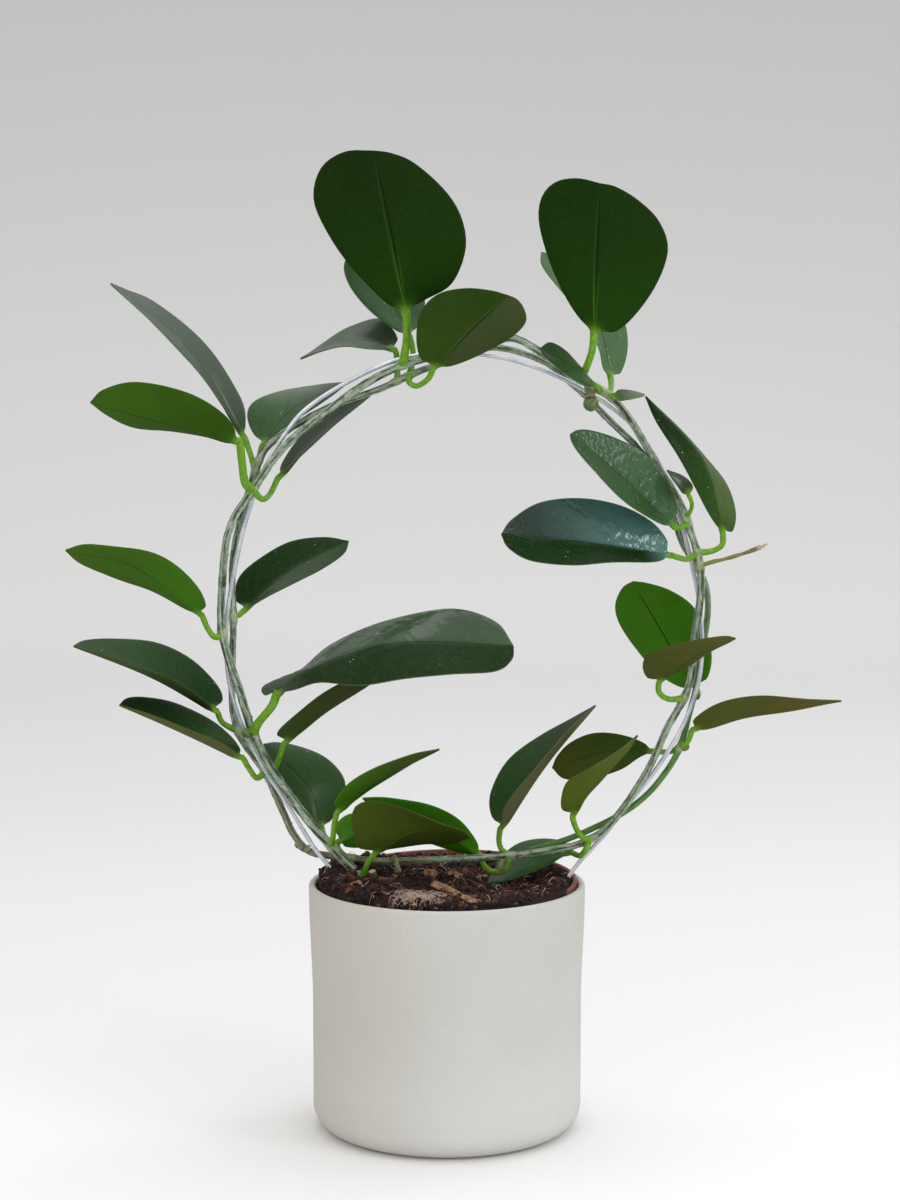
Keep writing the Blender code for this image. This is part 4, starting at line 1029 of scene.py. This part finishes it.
# Leaves on the crown of the hoop.
leaf("leaf_05", "crown", [(407, 335, -9), (405, 352, -8)],
     [(406, 313, -8), (391, 235, -16), (373, 150.3, -20)],
     [(4, [(385, 302), (345, 260), (320, 220), (313, 193), (322, 166), (345, 151.4)]),
      (6, [(425, 300), (452, 284), (466, 250), (462, 218), (445, 190), (415, 163), (392, 153)])],
     fold=0.3, stalk_radius=2.1, colour=(25, 57, 4), other=(22, 45, 5), rib=0.45)
leaf("leaf_06", "crown_far", [(413, 353, 9)], [(410, 337, 11), (384, 290, 22), (355, 247, 26)],
     [(-8, [(395, 330), (370, 311), (352, 291), (344, 272), (346, 258)]),
      (12, [(420, 322), (425, 300), (412, 275), (385, 255)])],
     shows="upper", colour=(62, 94, 56), wax=0.6)
leaf("leaf_07", "crown_back", [(397, 361, 10)], [(396, 350, 9), (352, 340, 14), (300, 359, 14)],
     [(15, [(397, 336), (380, 318), (350, 326), (325, 342), (312, 351)]),
      (-12, [(372, 349), (345, 347), (318, 352)])], fold=0.5,
     shows="upper", colour=(54, 76, 50), other=(74, 90, 74), wax=0.35)
leaf("leaf_08", "crown_far", [(428, 379, -8), (417, 386, -6), (409, 382, -4)],
     [(433, 369, -9), (470, 330, -17), (508, 295, -20)],
     [(-8, [(420, 358), (416, 335), (421, 311), (438, 294), (465, 288), (490, 290)]),
      (6, [(455, 365), (485, 353), (512, 337), (526, 322), (524, 308), (517, 299)])], fold=0.5,
     colour=(47, 72, 18), other=(42, 64, 14), half=(60, 73, 38))
leaf("leaf_09", "crest", [(592, 351, -10), (586, 368, -8)],
     [(594, 335, -9), (596, 265, -16), (600, 183, -20)],
     [(4, [(572, 308), (551, 267), (539, 225), (541, 198), (555, 182), (577, 178)]),
      (6, [(622, 328), (652, 293), (668, 252), (660, 222), (640, 201), (617, 187)])],
     fold=0.3, stalk_radius=1.9, colour=(26, 60, 5), other=(21, 48, 5), rib=0.45)
leaf("leaf_10", "crest_far", [(611, 388, 6)], [(611, 379, 11), (595, 318, 20), (541, 252, 24)],
     [(-7, [(603, 368), (599, 348), (585, 322), (560, 290), (542, 266)]),
      (10, [(622, 371), (628, 345), (622, 315), (600, 280), (565, 256)])],
     shows="upper", colour=(72, 108, 64), other=(96, 124, 88), wax=0.8, wrinkle=0.3)
leaf("leaf_11", "twin", [], [(599, 388, -11), (569, 365, -15), (540, 348, -14)],
     [(4, [(592, 381), (578, 363), (564, 349), (550, 342)]),
      (-6, [(586, 386), (565, 375), (551, 362), (543, 355)])], fold=0.5,
     shows="upper", colour=(52, 82, 38), other=(34, 62, 24), wax=0.3)
leaf("leaf_12", "twin_right", [], [(611, 395, -9), (627, 395, -13), (645, 395, -15)],
     [(-5, [(617, 390), (627, 390), (638, 392)]), (4, [(615, 401), (622, 401), (632, 399), (641, 397)])],
     fold=0.5, stalk_radius=1.0, colour=(72, 100, 58), other=(128, 144, 120))

# Leaves down the right side.
leaf("leaf_13", "upper_right", [(680, 528, -8)], [(675, 527, -10), (620, 475, -18), (570, 434, -24)],
     [(8, [(677, 505), (666, 481), (645, 454), (617, 438), (590, 430), (577, 430)]),
      (-10, [(658, 523), (630, 506), (605, 483), (583, 459), (572, 443)])], fold=0.5,
     shows="upper", colour=(60, 94, 62), other=(58, 86, 56), half=(44, 78, 36), wax=(0.4, 0.7), wrinkle=0.8)
leaf("leaf_14", "right", [(722, 545, 0), (712, 551, -2)],
     [(723, 534, 2), (701, 457, 2), (645, 396, 2)],
     [(-7, [(710, 516), (694, 486), (675, 452), (655, 420)]),
      (16, [(733, 531), (736, 512), (727, 485), (707, 459), (678, 428)])], fold=0.7,
     shows="upper", colour=(44, 74, 22), other=(6, 34, 2), half=(74, 94, 50), wax=0.06)
leaf("leaf_15", "bud", [(692, 505, -10), (690, 512, -8)], [(690, 497, -11), (682, 483, -12), (667, 470, -12)],
     [(4, [(695, 491), (690, 481), (679, 474)]), (-5, [(684, 495), (677, 486), (671, 477)])],
     stalk_radius=1.1, shows="upper", colour=(30, 46, 24), other=(56, 70, 50), wax=0.3)
# leaf_16's pale teal base colour is painted sheen, for the light that its wrinkled upper face catches there.
leaf("leaf_16", "right", [(680, 558, -10), (688, 559, -8)],
     [(671, 555, -10), (587, 543, -24), (501, 534, -32)],
     [(12, [(666, 538), (650, 520), (620, 505), (580, 498), (540, 502), (512, 519)]),
      (-17, [(655, 562), (610, 563), (570, 565), (530, 561), (508, 548)])], fold=0.5,
     shows="upper", colour=(80, 122, 116), other=(4, 36, 24), half=(10, 42, 2), wax=(1.1, 0.03),
     wrinkle=1.0)
leaf("leaf_17", "lower_right", [(697, 696, 5)], [(697, 689, 9), (668, 640, 18), (633, 581, 20)],
     [(-7, [(708, 677), (712, 655), (706, 631), (693, 606), (670, 590), (648, 583)]),
      (12, [(680, 687), (658, 674), (640, 655), (621, 627), (615, 606), (622, 588)])],
     colour=(62, 120, 18), other=(62, 116, 18))
leaf("leaf_18", "lower_right", [(659, 692, -11), (668, 699, -9)],
     [(659, 681, -10), (690, 657, -17), (736, 638, -17)],
     [(-10, [(650, 680), (644, 673), (643, 662), (651, 652), (680, 643), (722, 636)]),
      (7, [(667, 677), (692, 664), (715, 649), (729, 642)])], fold=0.5,
     colour=(64, 73, 26), other=(84, 84, 38))
leaf("leaf_19", "last", [(688, 741, 0)], [(692, 730, 0), (757, 703, -3), (842, 701, 0)],
     [(-16, [(695, 718), (720, 702), (755, 696), (800, 699)]),
      (15, [(708, 729), (740, 720), (780, 713), (818, 706)])], fold=0.6,
     colour=(70, 78, 24), other=(86, 80, 20))
leaf("leaf_20", "last", [(664, 752, 9), (672, 751, 8)], [(655, 751, 8), (604, 750, 8), (552, 768, 6)],
     [(-9, [(640, 741), (615, 733), (592, 733), (570, 743), (557, 756)]),
      (10, [(640, 757), (620, 770), (595, 778), (565, 779)])], fold=0.5,
     colour=(46, 74, 18), other=(70, 80, 24))

# Leaves that stand over the pot.
leaf("leaf_21", "rim_right", [(576, 828, -11), (582, 837, -9)],
     [(572, 816, -11), (597, 778, -18), (638, 735, -17)],
     [(-10, [(561, 807), (566, 783), (585, 770), (617, 752), (631, 741)]),
      (9, [(579, 807), (589, 793), (608, 773), (628, 751)])], fold=0.5,
     colour=(72, 86, 20), other=(84, 96, 34))
leaf("leaf_22", "middle", [(499, 841, 6), (502, 850, 4)],
     [(500, 829, 6), (546, 764, 2), (596, 705, -4)],
     [(20, [(490, 812), (491, 790), (508, 760), (540, 735), (575, 716)]),
      (-15, [(505, 806), (531, 772), (560, 739), (582, 717)])], fold=0.7,
     shows="upper", colour=(42, 76, 30), other=(46, 64, 38), wax=0.15, back=(92, 94, 62))
leaf("leaf_23", "rim_right", [(577, 855, 1), (581, 855, -3.5), (586, 849, -6)],
     [(571, 852, 5), (530, 862, 11), (487, 884, 3)],
     [(14, [(565, 842), (545, 838), (522, 842), (505, 853), (492, 872)]),
      (-6, [(560, 858), (548, 866), (525, 875), (502, 882)])], fold=0.5,
     shows="upper", colour=(52, 94, 42), other=(44, 74, 38), wax=0.25)
leaf("leaf_24", "low_left", [(334, 826, -10), (333, 837, -9)],
     [(337, 812, -10), (380, 778, -18), (440, 749, -20)],
     [(-14, [(335, 801), (348, 784), (378, 766), (412, 754)]),
      (13, [(350, 804), (383, 781), (415, 762)])], fold=0.5, colour=(62, 112, 16), other=(72, 88, 34))
leaf("leaf_25", "middle", [(484, 866, 6), (494, 872, 3), (504, 870, 0)],
     [(482, 856, 9), (428, 822, 16), (362, 798, 16)],
     [(-7, [(475, 838), (458, 818), (430, 805), (395, 798), (375, 797)]),
      (12, [(455, 852), (420, 840), (385, 820)])], colour=(72, 142, 22), other=(68, 132, 22))
leaf("leaf_26", "foot", [(369, 861, -12), (365, 870, -10)],
     [(376, 852, -13), (418, 831, -20), (470, 837, -18)],
     [(-10, [(358, 848), (352, 825), (355, 806), (375, 800), (405, 809), (440, 823), (462, 830)]),
      (12, [(395, 848), (425, 845), (455, 843)])], fold=0.6, colour=(66, 82, 20), other=(60, 72, 20))
leaf("leaf_27", "low_left", [(325, 837, 3)], [(322, 830, 8), (308, 786, 16), (263, 744, 19)],
     [(14, [(333, 818), (345, 795), (343, 776), (325, 757), (300, 746), (277, 742)]),
      (-6, [(305, 819), (285, 795), (270, 770)])],
     shows="upper", colour=(52, 82, 42), other=(46, 74, 36), wax=0.4)
leaf("leaf_28", "rim_left", [(338, 848, 11), (344, 855, 9)],
     [(337, 842, 11), (364, 830, 13), (400, 822, 16)],
     [(-5, [(334, 829), (343, 817), (360, 812), (385, 814)]), (7, [(345, 847), (362, 847), (385, 836)])],
     colour=(92, 154, 48), other=(78, 138, 42))

# Leaves down the left side.
leaf("leaf_29", "left", [(208, 629, -6), (215, 637, -6)],
     [(202, 615, -6), (137, 566, -11), (65, 550, -12)],
     [(-16, [(206, 604), (197, 585), (176, 565), (150, 552), (115, 546), (85, 544)]),
      (19, [(185, 609), (150, 591), (112, 577), (80, 564)])], fold=0.6,
     colour=(63, 112, 24), other=(63, 100, 16))
leaf("leaf_30", "left_far", [(239, 615, 8)], [(243, 611, 10), (291, 570, 15), (349, 541, 15)],
     [(12, [(235, 598), (239, 577), (260, 558), (290, 541), (325, 537)]),
      (-11, [(262, 600), (292, 584), (322, 570), (344, 554)])], fold=0.5,
     shows="upper", colour=(20, 50, 10), other=(32, 56, 24), half=(54, 76, 50), wax=(0.04, 0.4))
leaf("leaf_31", "low_bend", [(223, 723, 3)], [(217, 711, 3), (153, 677, 2), (73, 646, 2)],
     [(22, [(223, 697), (214, 680), (190, 658), (155, 642), (115, 638), (85, 640)]),
      (-18, [(196, 694), (170, 678), (140, 667), (105, 655)])], fold=0.7,
     shows="upper", colour=(8, 52, 2), other=(42, 72, 32), wax=0.06, back=(60, 76, 34))
leaf("leaf_32", "knee", [(250, 770, -2), (257, 778, 1)],
     [(243, 758, -4), (183, 732, -5), (119, 705, -7)],
     [(18, [(240, 748), (230, 735), (208, 718), (175, 702), (145, 697), (127, 698)]),
      (-18, [(222, 743), (195, 731), (165, 720), (140, 711)])], fold=0.7,
     shows="upper", colour=(30, 72, 16), other=(12, 46, 2), wax=0.06, back=(80, 84, 38))
# leaf_33's grey-green base colour is painted sheen.
leaf("leaf_33", "thick", [(272, 706, -12), (259, 722, -11)],
     [(277, 693, -12), (312, 668, -22), (400, 643, -42), (514, 646, -52)],
     [(17, [(266, 696), (261, 690), (268, 683), (297, 672), (330, 645), (385, 621), (450, 608), (495, 621)]),
      (-16, [(295, 690), (320, 683), (360, 686), (405, 679), (450, 675), (495, 672), (512, 660)])],
     fold=0.4, stalk_radius=2.2,
     shows="upper", colour=(64, 84, 64), other=(46, 70, 42), half=(24, 48, 16), wax=(1.4, 0.3),
     wrinkle=0.8)
leaf("leaf_34", "knee", [(279, 759, 5), (274, 768, 5)], [(284, 743, 3), (333, 702, 4), (392, 664, 8)],
     [(-13, [(277, 733), (293, 716), (322, 694), (358, 675)]),
      (15, [(292, 739), (322, 716), (350, 697), (376, 680)])], fold=0.5,
     colour=(60, 78, 32), other=(60, 62, 28))


def along(route, share):
    """Point at a share of the length of a route whose points are even."""
    return point_at(route, share * (len(route) - 1))


def edge_route(midrib, ends, bulge, spots):
    """Edge of a blade from base to tip, at most bulge millimetres behind its midrib."""
    outline = [Vector(spot[:2]) for spot in (ends[0], *spots, ends[1])]
    lengths = lengths_along(outline)
    result = []
    for spot, length in zip(outline, lengths):
        share = length / lengths[-1]
        depth = along(midrib, share).y / MM + bulge * max(math.sin(math.pi * share), 0.0) ** 0.6
        result.append(seen(spot.x, spot.y, depth))
    return smooth_route(result, OUTLINE_STEP)


def seated_stalk(spots, node_point, vine_radius_there):
    """Route of a leaf stalk from its blade into the vine's skin."""
    fine = smooth_route(spots + [node_point], STALK_STEP)
    near = [point for point in vine_line if (point - node_point).length < STALK_NEAR]
    for index, centre in enumerate(fine):
        if min((centre - point).length for point in near) < vine_radius_there * STALK_SEAT:
            return fine[:max(index, 3)]
    return fine


def section_places(half):
    """Across (-1 to 1) and height (1 on top, -1 below) round a blade's or a stalk's section."""
    return [(-math.cos(angle), math.sin(angle)) for angle in full_turn(2 * half)]


def blade_point(foot, reach, across, fold):
    """Point of a blade's middle sheet at one section."""
    straight = reach[0 if across < 0 else 1] * abs(across)
    bowed = (reach[1] - reach[0]) * (across / 2) + (reach[0] + reach[1]) * (across * across / 2)
    return foot + bowed.lerp(straight, fold)


def leaf_skin(number, shape):
    """Points, faces and layers of one leaf: a round stalk that opens into a thick, edged blade."""
    midrib = smooth_route([seen(*spot) for spot in shape.midrib], OUTLINE_STEP)
    ends = (shape.midrib[0], shape.midrib[-1])
    edges = [edge_route(midrib, ends, bulge, spots) for bulge, spots in shape.edges]
    fineness = PUCKERED_FINENESS if shape.wrinkle > PLAIN_WRINKLE else 1
    half = BLADE_HALF * fineness
    rows = BLADE_ROWS * fineness
    section = section_places(half)
    shares = [0.5 - 0.5 * math.cos(math.pi * (row + 0.6) / (rows + 1.6 * fineness)) for row in range(rows)]
    feet = [along(midrib, share) for share in shares]
    reaches = [[(along(edge, share) - foot) * BLADE_REACH for edge in edges]
               for share, foot in zip(shares, feet)]
    sheet = [[blade_point(foot, reach, across, shape.fold) for across, _ in section]
             for foot, reach in zip(feet, reaches)]
    middle = half // 2
    before, centre, after = sheet[rows // 2 - 1:rows // 2 + 2]
    front = (centre[middle + 2] - centre[middle - 2]).cross(after[middle] - before[middle])
    toward_eye = front.dot(EYE - centre[middle]) > 0
    upper_sign = 1.0 if (shape.shows == "upper") == toward_eye else -1.0
    radius = shape.stalk_radius
    node_place = node_places[shape.node]
    spots = [seen(*spot) for spot in [shape.midrib[0]] + shape.stalk]
    stalk = seated_stalk(spots, point_at(vine_route, node_place), vine_radius(node_place)[0])
    headings = directions(stalk)
    hint = reaches[1][1] - reaches[1][0]
    points = []
    layers = {"across": [], "along": [], "upper": [], "stalk": []}

    def put(point, *facts):
        """Adds a point, with its place across and along and its share of the upper face and stalk."""
        points.append(point)
        for values, fact in zip(layers.values(), facts):
            values.append(fact)

    kept = list(range(len(stalk) - 1, 2, -3))
    for index in kept:
        heading = -headings[index]
        side = (hint - heading * hint.dot(heading)).normalized()
        top = side.cross(heading)
        share = index / max(len(stalk) - 1, 1)
        swell = radius * (1 + STALK_SWELL * share ** 6 - STALK_WAIST * math.sin(math.pi * share))
        for across, height in section:
            put(stalk[index] + (side * across + top * height) * swell,
                across, -0.02 - share * 0.2, 0.5 + 0.5 * height * upper_sign, 1.0)

    base_heading = (feet[2] - feet[0]).normalized()
    base_side = (hint - base_heading * hint.dot(base_heading)).normalized()
    length = (len(midrib) - 1) * OUTLINE_STEP
    for row, (share, foot, reach) in enumerate(zip(shares, feet, reaches)):
        opened = eased(share * length / BLADE_OPENING)
        row_before, row_after = sheet[max(row - 1, 0)], sheet[min(row + 1, rows - 1)]
        width = (reach[1] - reach[0]).length / 2
        for index, (across, height) in enumerate(section):
            left = max(index - 1, 0)
            right = min(index + 1, half) if index <= half else (index + 1) % len(section)
            across_way = (sheet[row][right] - sheet[row][left]) * (1 if index <= half else -1)
            normal = across_way.cross(row_after[index] - row_before[index]).normalized()
            edge = (1 - abs(across) ** 7) ** 0.5
            away = abs(across) * width
            crease = math.exp(-(away / CREASE_WIDTH) ** 2)
            thick = LEAF_HALF_THICKNESS * edge
            if height * upper_sign > 0:
                thick -= CREASE_DEPTH * crease * eased(share * 8) * (1 - share)
                spot = Vector((across * width, share * length, number * 0.1)) * PUCKERS_PER_METRE
                pucker = noise.noise(spot) + 0.5 * noise.noise(spot * 2.3)
                thick += PUCKER_DEPTH * shape.wrinkle * pucker * edge * (1 - share * 0.7)
            else:
                rib = math.exp(-(away / (radius * RIB_WIDTH)) ** 2) * (1 - share) ** 2.2
                thick += radius * RIB_HEIGHT * rib * edge + CREASE_RIDGE * crease * (1 - share)
            if abs(height) < 1e-6:
                thick = 0.0
            wave = EDGE_WAVE * across * across * math.sin(share * EDGE_WAVE_TURN + number * 1.7 + across)
            wave *= min(1.0, width / FULL_WAVE_WIDTH) * math.sin(math.pi * share)
            stalk_point = foot + base_side * across * radius + normal * height * radius
            blade = sheet[row][index] + normal * (wave + thick * (1 if height > 0 else -1))
            face = 0.5 + 0.5 * upper_sign * max(min(height * 3, 1.0), -1.0)
            put(stalk_point.lerp(blade, opened), across, share, face, 1 - opened)
    faces = [face[:1] + face[:0:-1] for face in tube_faces(len(kept) + rows, len(section))]
    return points, faces, layers


def waxy_leaf(name, number, shape):
    """Leaf skin. Its underside is matt, and its upper face has a wax coat that carries dust."""
    first, second = shape.wax
    finish = Finish(name + "_skin", roughness=0.5, specular_ior_level=0.06,
                    coat_roughness=0.22 - 0.1 * shape.wrinkle)
    across = finish.layer("across")
    run = finish.layer("along")
    upper = finish.layer("upper").step(0.35, 0.65)
    stalk = finish.layer("stalk")
    away = across.size()
    cloud = finish.noise(55.0, 3.0, roughness=0.6)
    mottle = finish.noise(620.0, 4.0, roughness=0.65)

    # The two faces: the one seen first shades from base to tip and, where folded, across its crease, where
    # its second half is painted light and shade.
    front = finish.mix(run.step(0.1, 0.9), shape.colour, shape.other)
    # Painted light and shade: the second half is coloured for how differently it is lit from the first.
    if shape.half:
        front = finish.mix(across.step(-0.12, 0.12) * run.step(0.0, 0.2), front, shape.half)
    back = finish.mix(cloud.step(0.3, 0.7), shape.back, [value * 1.12 for value in shape.back])
    body = finish.mix(upper if shape.shows == "upper" else 1 - upper, back, front)
    body = finish.mix(cloud.step(0.35, 0.75) * 0.16, body, (22, 44, 12))
    body = finish.mix(mottle.step(0.45, 0.8) * (0.03 + upper * 0.05), body, (140, 160, 90))

    # Veins above; beneath, painted light where it would come through the midrib; then painted shade in the
    # crease, a painted highlight along the rim, and dust.
    vein = (run * 17.0 - away * 5.0 + cloud * 2.0 + number).sine().size().step(0.12, 0.0)
    vein = vein * away.step(0.9, 0.4) * run.step(1.0, 0.75) * upper
    body = finish.mix(vein * 0.3, body, (26, 42, 22))
    # Painted light: the midrib beneath, and the blade's foot beneath, are painted bright green for light
    # shining through them.
    painted_rib_glow = run.step(0.5, 0.0) * away.step(0.1, 0.0) * (1 - upper * 0.8)
    body = finish.mix(painted_rib_glow * shape.rib, body, (92, 148, 34))
    painted_foot_glow = run.step(0.14, 0.0) * away.step(0.9, 0.1) * (1 - upper)
    body = finish.mix(painted_foot_glow * (0.1 + shape.rib * 0.6), body, (84, 146, 32))
    # Painted shade: a dark line along the midrib's crease.
    crease = (across - 0.012).size().step(0.03, 0.01) * run.step(0.02, 0.12)
    body = finish.mix(crease * 0.8, body, (16, 34, 6))
    # Painted highlight: a faint pale line beside the crease on the underside.
    painted_lip_highlight = (across + 0.03).size().step(0.03, 0.01) * run.step(0.0, 0.1) * (1 - upper)
    body = finish.mix(painted_lip_highlight * 0.04, body, (128, 160, 90))
    # Painted highlight: the rim is painted pale, most on the upper face, for light caught along the thick
    # edge.
    body = finish.mix(away.step(0.965, 0.995) * (0.03 + upper * 0.2), body, (150, 170, 124))
    dust = finish.cells(330.0).step(0.12, 0.05) * finish.noise(150.0).step(0.56, 0.66) * upper
    body = finish.mix(dust * 0.8, body, (214, 220, 212))
    green_stalk = finish.mix(mottle.step(0.3, 0.7), (88, 140, 26), (122, 168, 52))
    body = finish.mix(stalk, body, green_stalk)

    shine = first + (second - first) * across.step(-0.2, 0.2)
    wax = upper * shine * 0.55 * (1 - dust * 0.7) * (1 - stalk) + stalk * 0.25
    return finish.feed(base_color=body, roughness=0.62 - upper * 0.26 + mottle * 0.15, coat_weight=wax,
                       normal=finish.relief(mottle * 0.1 + vein * 0.1, 0.9 * MM))


for number, (name, shape) in enumerate(LEAVES.items()):
    points, faces, layers = leaf_skin(number, shape)
    add_piece("waxy_" + name, points, faces, waxy_leaf(name, number, shape), "leaf_green", [name],
              layers=layers)


# The dry stalk of an old flower cluster: thin, brown and stiff. It swells where it left the vine
# and ends split and ragged, in four shreds of its own fibre.
FLOWER_STALK = [(761, 547, -2), (745, 553, -3), (725, 559, -4), (712, 562, -4)]
FLOWER_STALK_RADIUS = 1.0 * MM
FLOWER_STALK_SIDES = 12
SHREDS = ((0.5, 3.2), (-0.4, 2.6), (0.1, 4.0), (-0.9, 2.0))


def dry_stalk():
    """Brown flecked stalk, greener toward the vine and bleached at its broken end."""
    finish = Finish("dry_flower_stalk", roughness=0.8)
    run = finish.layer("along")
    fleck = finish.noise(700.0, 4.0, roughness=0.7)
    body = finish.mix(fleck.step(0.35, 0.7), (96, 84, 46), (152, 136, 90))
    body = finish.mix(run.step(0.35, 0.8), body, (122, 126, 64))
    body = finish.mix(run.step(0.12, 0.0) * 0.8, body, (196, 180, 148))
    return finish.feed(base_color=body, normal=finish.relief(fleck, 0.25 * MM))


spots = [seen(*spot) for spot in FLOWER_STALK]
route = smooth_route(spots + [point_at(vine_route, node_places["stalk"])], 0.8 * MM)
last = len(route) - 1


def flower_stalk_radius(ring, angle):
    """Radius of the stalk's skin, swollen at both ends and a little twisted."""
    end = math.exp(-ring / 3.0) * 0.5
    foot_swell = 0.8 * math.exp(-(last - ring) / 3.0)
    return FLOWER_STALK_RADIUS * (0.92 + end + foot_swell + 0.12 * math.sin(angle * 2 + ring * 0.5))


points, faces = tube(route, flower_stalk_radius, FLOWER_STALK_SIDES)
runs = [ring / last for ring in range(last + 1) for _ in range(FLOWER_STALK_SIDES)]
heading = (route[0] - route[3]).normalized()
for index, (lean, reach) in enumerate(SHREDS):
    way = (heading + Vector((0, 0.3 * math.sin(index * 2.1), lean * 0.6))) * reach * MM
    shred = [route[1] - heading * MM, route[0], route[0] + way * 0.5, route[0] + way]
    strip, skin = tube(shred, lambda ring, _: (0.55, 0.5, 0.35, 0.1)[ring] * MM, 6)
    gather(points, faces, strip, skin)
    runs += [0.0] * len(strip)
add_piece("flower_stalk_remnant", points, faces, dry_stalk(), "dry_stalk", ["flower_stalk"],
          layers={"along": runs}, sharp=60)


# The setting. A pale floor sweeps up into a plain backdrop, under soft lamps and two small bright
# ones. The greys along the sweep are painted shade and light, set at distances along it: they
# darken it upward and lighten it where the lamps leave it dim.
SWEEP_WIDTH = 7.0
SWEEP_FRONT = -2.2
SWEEP_BACK = 1.6
SWEEP_CURVE = 1.1
SWEEP_TOP = 4.0
SWEEP_STEPS = 24
WALL_STEPS = 8
ROOM_STRENGTH = 1.1
HORIZON = (0.366, 0.366, 0.368, 1.0)
ZENITH = (1.0, 0.995, 0.99, 1.0)
ZENITH_FROM = 0.9
SWEEP_PAINTED_GREYS = [(0.0, 247), (2.0, 247), (2.2, 240), (2.44, 229), (3.1, 217), (3.65, 219), (4.1, 225),
               (4.6, 222), (5.0, 217), (5.25, 215), (6.5, 208)]


def sweep_finish():
    """Matt paper between black and white, by the painted shade that the mesh carries."""
    finish = Finish("paper_sweep", roughness=0.9, specular_ior_level=0.1)
    return finish.feed(base_color=finish.mix(finish.layer("shade"), (0, 0, 0), (255, 255, 255)))


line = [(SWEEP_FRONT + (SWEEP_BACK - SWEEP_FRONT) * step / SWEEP_STEPS, 0.0)
        for step in range(SWEEP_STEPS + 1)]
line += arc((SWEEP_BACK, SWEEP_CURVE), SWEEP_CURVE, -90, 0, SWEEP_STEPS)[1:]
line += [(SWEEP_BACK + SWEEP_CURVE, SWEEP_CURVE + (SWEEP_TOP - SWEEP_CURVE) * step / WALL_STEPS)
         for step in range(1, WALL_STEPS + 1)]
points = []
painted_shades = []
# Painted shade: each row takes its grey from the painted greys by how far along the sweep it lies.
for (depth, height), travelled in zip(line, lengths_along([Vector(spot) for spot in line])):
    painted_grey = SWEEP_PAINTED_GREYS[-1][1]
    for (near, first), (far, second) in zip(SWEEP_PAINTED_GREYS, SWEEP_PAINTED_GREYS[1:]):
        if near <= travelled <= far:
            painted_grey = first + (second - first) * (travelled - near) / (far - near)
    points += [(side * SWEEP_WIDTH / 2, depth, height) for side in (-1, 1)]
    painted_shades += [paint(painted_grey, painted_grey, painted_grey)[0]] * 2
faces = [(2 * row, 2 * row + 1, 2 * row + 3, 2 * row + 2) for row in range(len(line) - 1)]
mesh = bpy.data.meshes.new("sweep")
mesh.from_pydata(points, [], faces)
mesh.attributes.new("shade", "FLOAT", "POINT").data.foreach_set("value", painted_shades)
mesh.shade_smooth()
mesh.materials.append(sweep_finish())
sweep = bpy.data.objects.new("sweep", mesh)
bpy.context.collection.objects.link(sweep)
sweep.visible_glossy = False


def add_lamp(name, place, aim, size, power, tone):
    """A square soft lamp at a place, turned to an aim."""
    lamp = bpy.data.lights.new(name, "AREA")
    lamp.shape = "SQUARE"
    lamp.size = size
    lamp.energy = power
    lamp.color = tone
    item = bpy.data.objects.new(name, lamp)
    item.location = place
    item.rotation_euler = (Vector(aim) - Vector(place)).to_track_quat("-Z", "Y").to_euler()
    bpy.context.collection.objects.link(item)


add_lamp("overhead", (0.1, 0.6, 1.9), (0.0, 0.0, 0.25), 1.6, 11.0, (0.97, 0.99, 1.0))
add_lamp("window", (1.4, -0.8, 1.25), (0.1, 0.0, 0.35), 0.3, 3.6, (0.9, 0.97, 1.0))
add_lamp("far_window", (1.25, 1.05, 1.15), (0.1, 0.0, 0.35), 0.35, 2.4, (0.97, 1.0, 1.0))
add_lamp("front_left", (-1.3, -1.5, 0.9), (0.0, 0.0, 0.25), 1.2, 2.5, (1.0, 0.86, 0.72))
add_lamp("front_right", (1.3, -1.4, 0.8), (0.0, 0.0, 0.2), 1.2, 5.0, (1.0, 0.99, 0.97))

# The room above is bright and falls off toward the horizon, so that only faces turned up shine.
world = bpy.data.worlds.new("studio")
bpy.context.scene.world = world
world.use_nodes = True
room = world.node_tree
direction = room.nodes.new("ShaderNodeTexCoord")
upward = room.nodes.new("ShaderNodeSeparateXYZ")
fall_off = room.nodes.new("ShaderNodeValToRGB")
room.links.new(direction.outputs["Generated"], upward.inputs[0])
room.links.new(upward.outputs["Z"], fall_off.inputs["Fac"])
room.links.new(fall_off.outputs["Color"], room.nodes["Background"].inputs["Color"])
fall_off.color_ramp.elements[0].color = HORIZON
fall_off.color_ramp.elements[1].position = ZENITH_FROM
fall_off.color_ramp.elements[1].color = ZENITH
room.nodes["Background"].inputs["Strength"].default_value = ROOM_STRENGTH
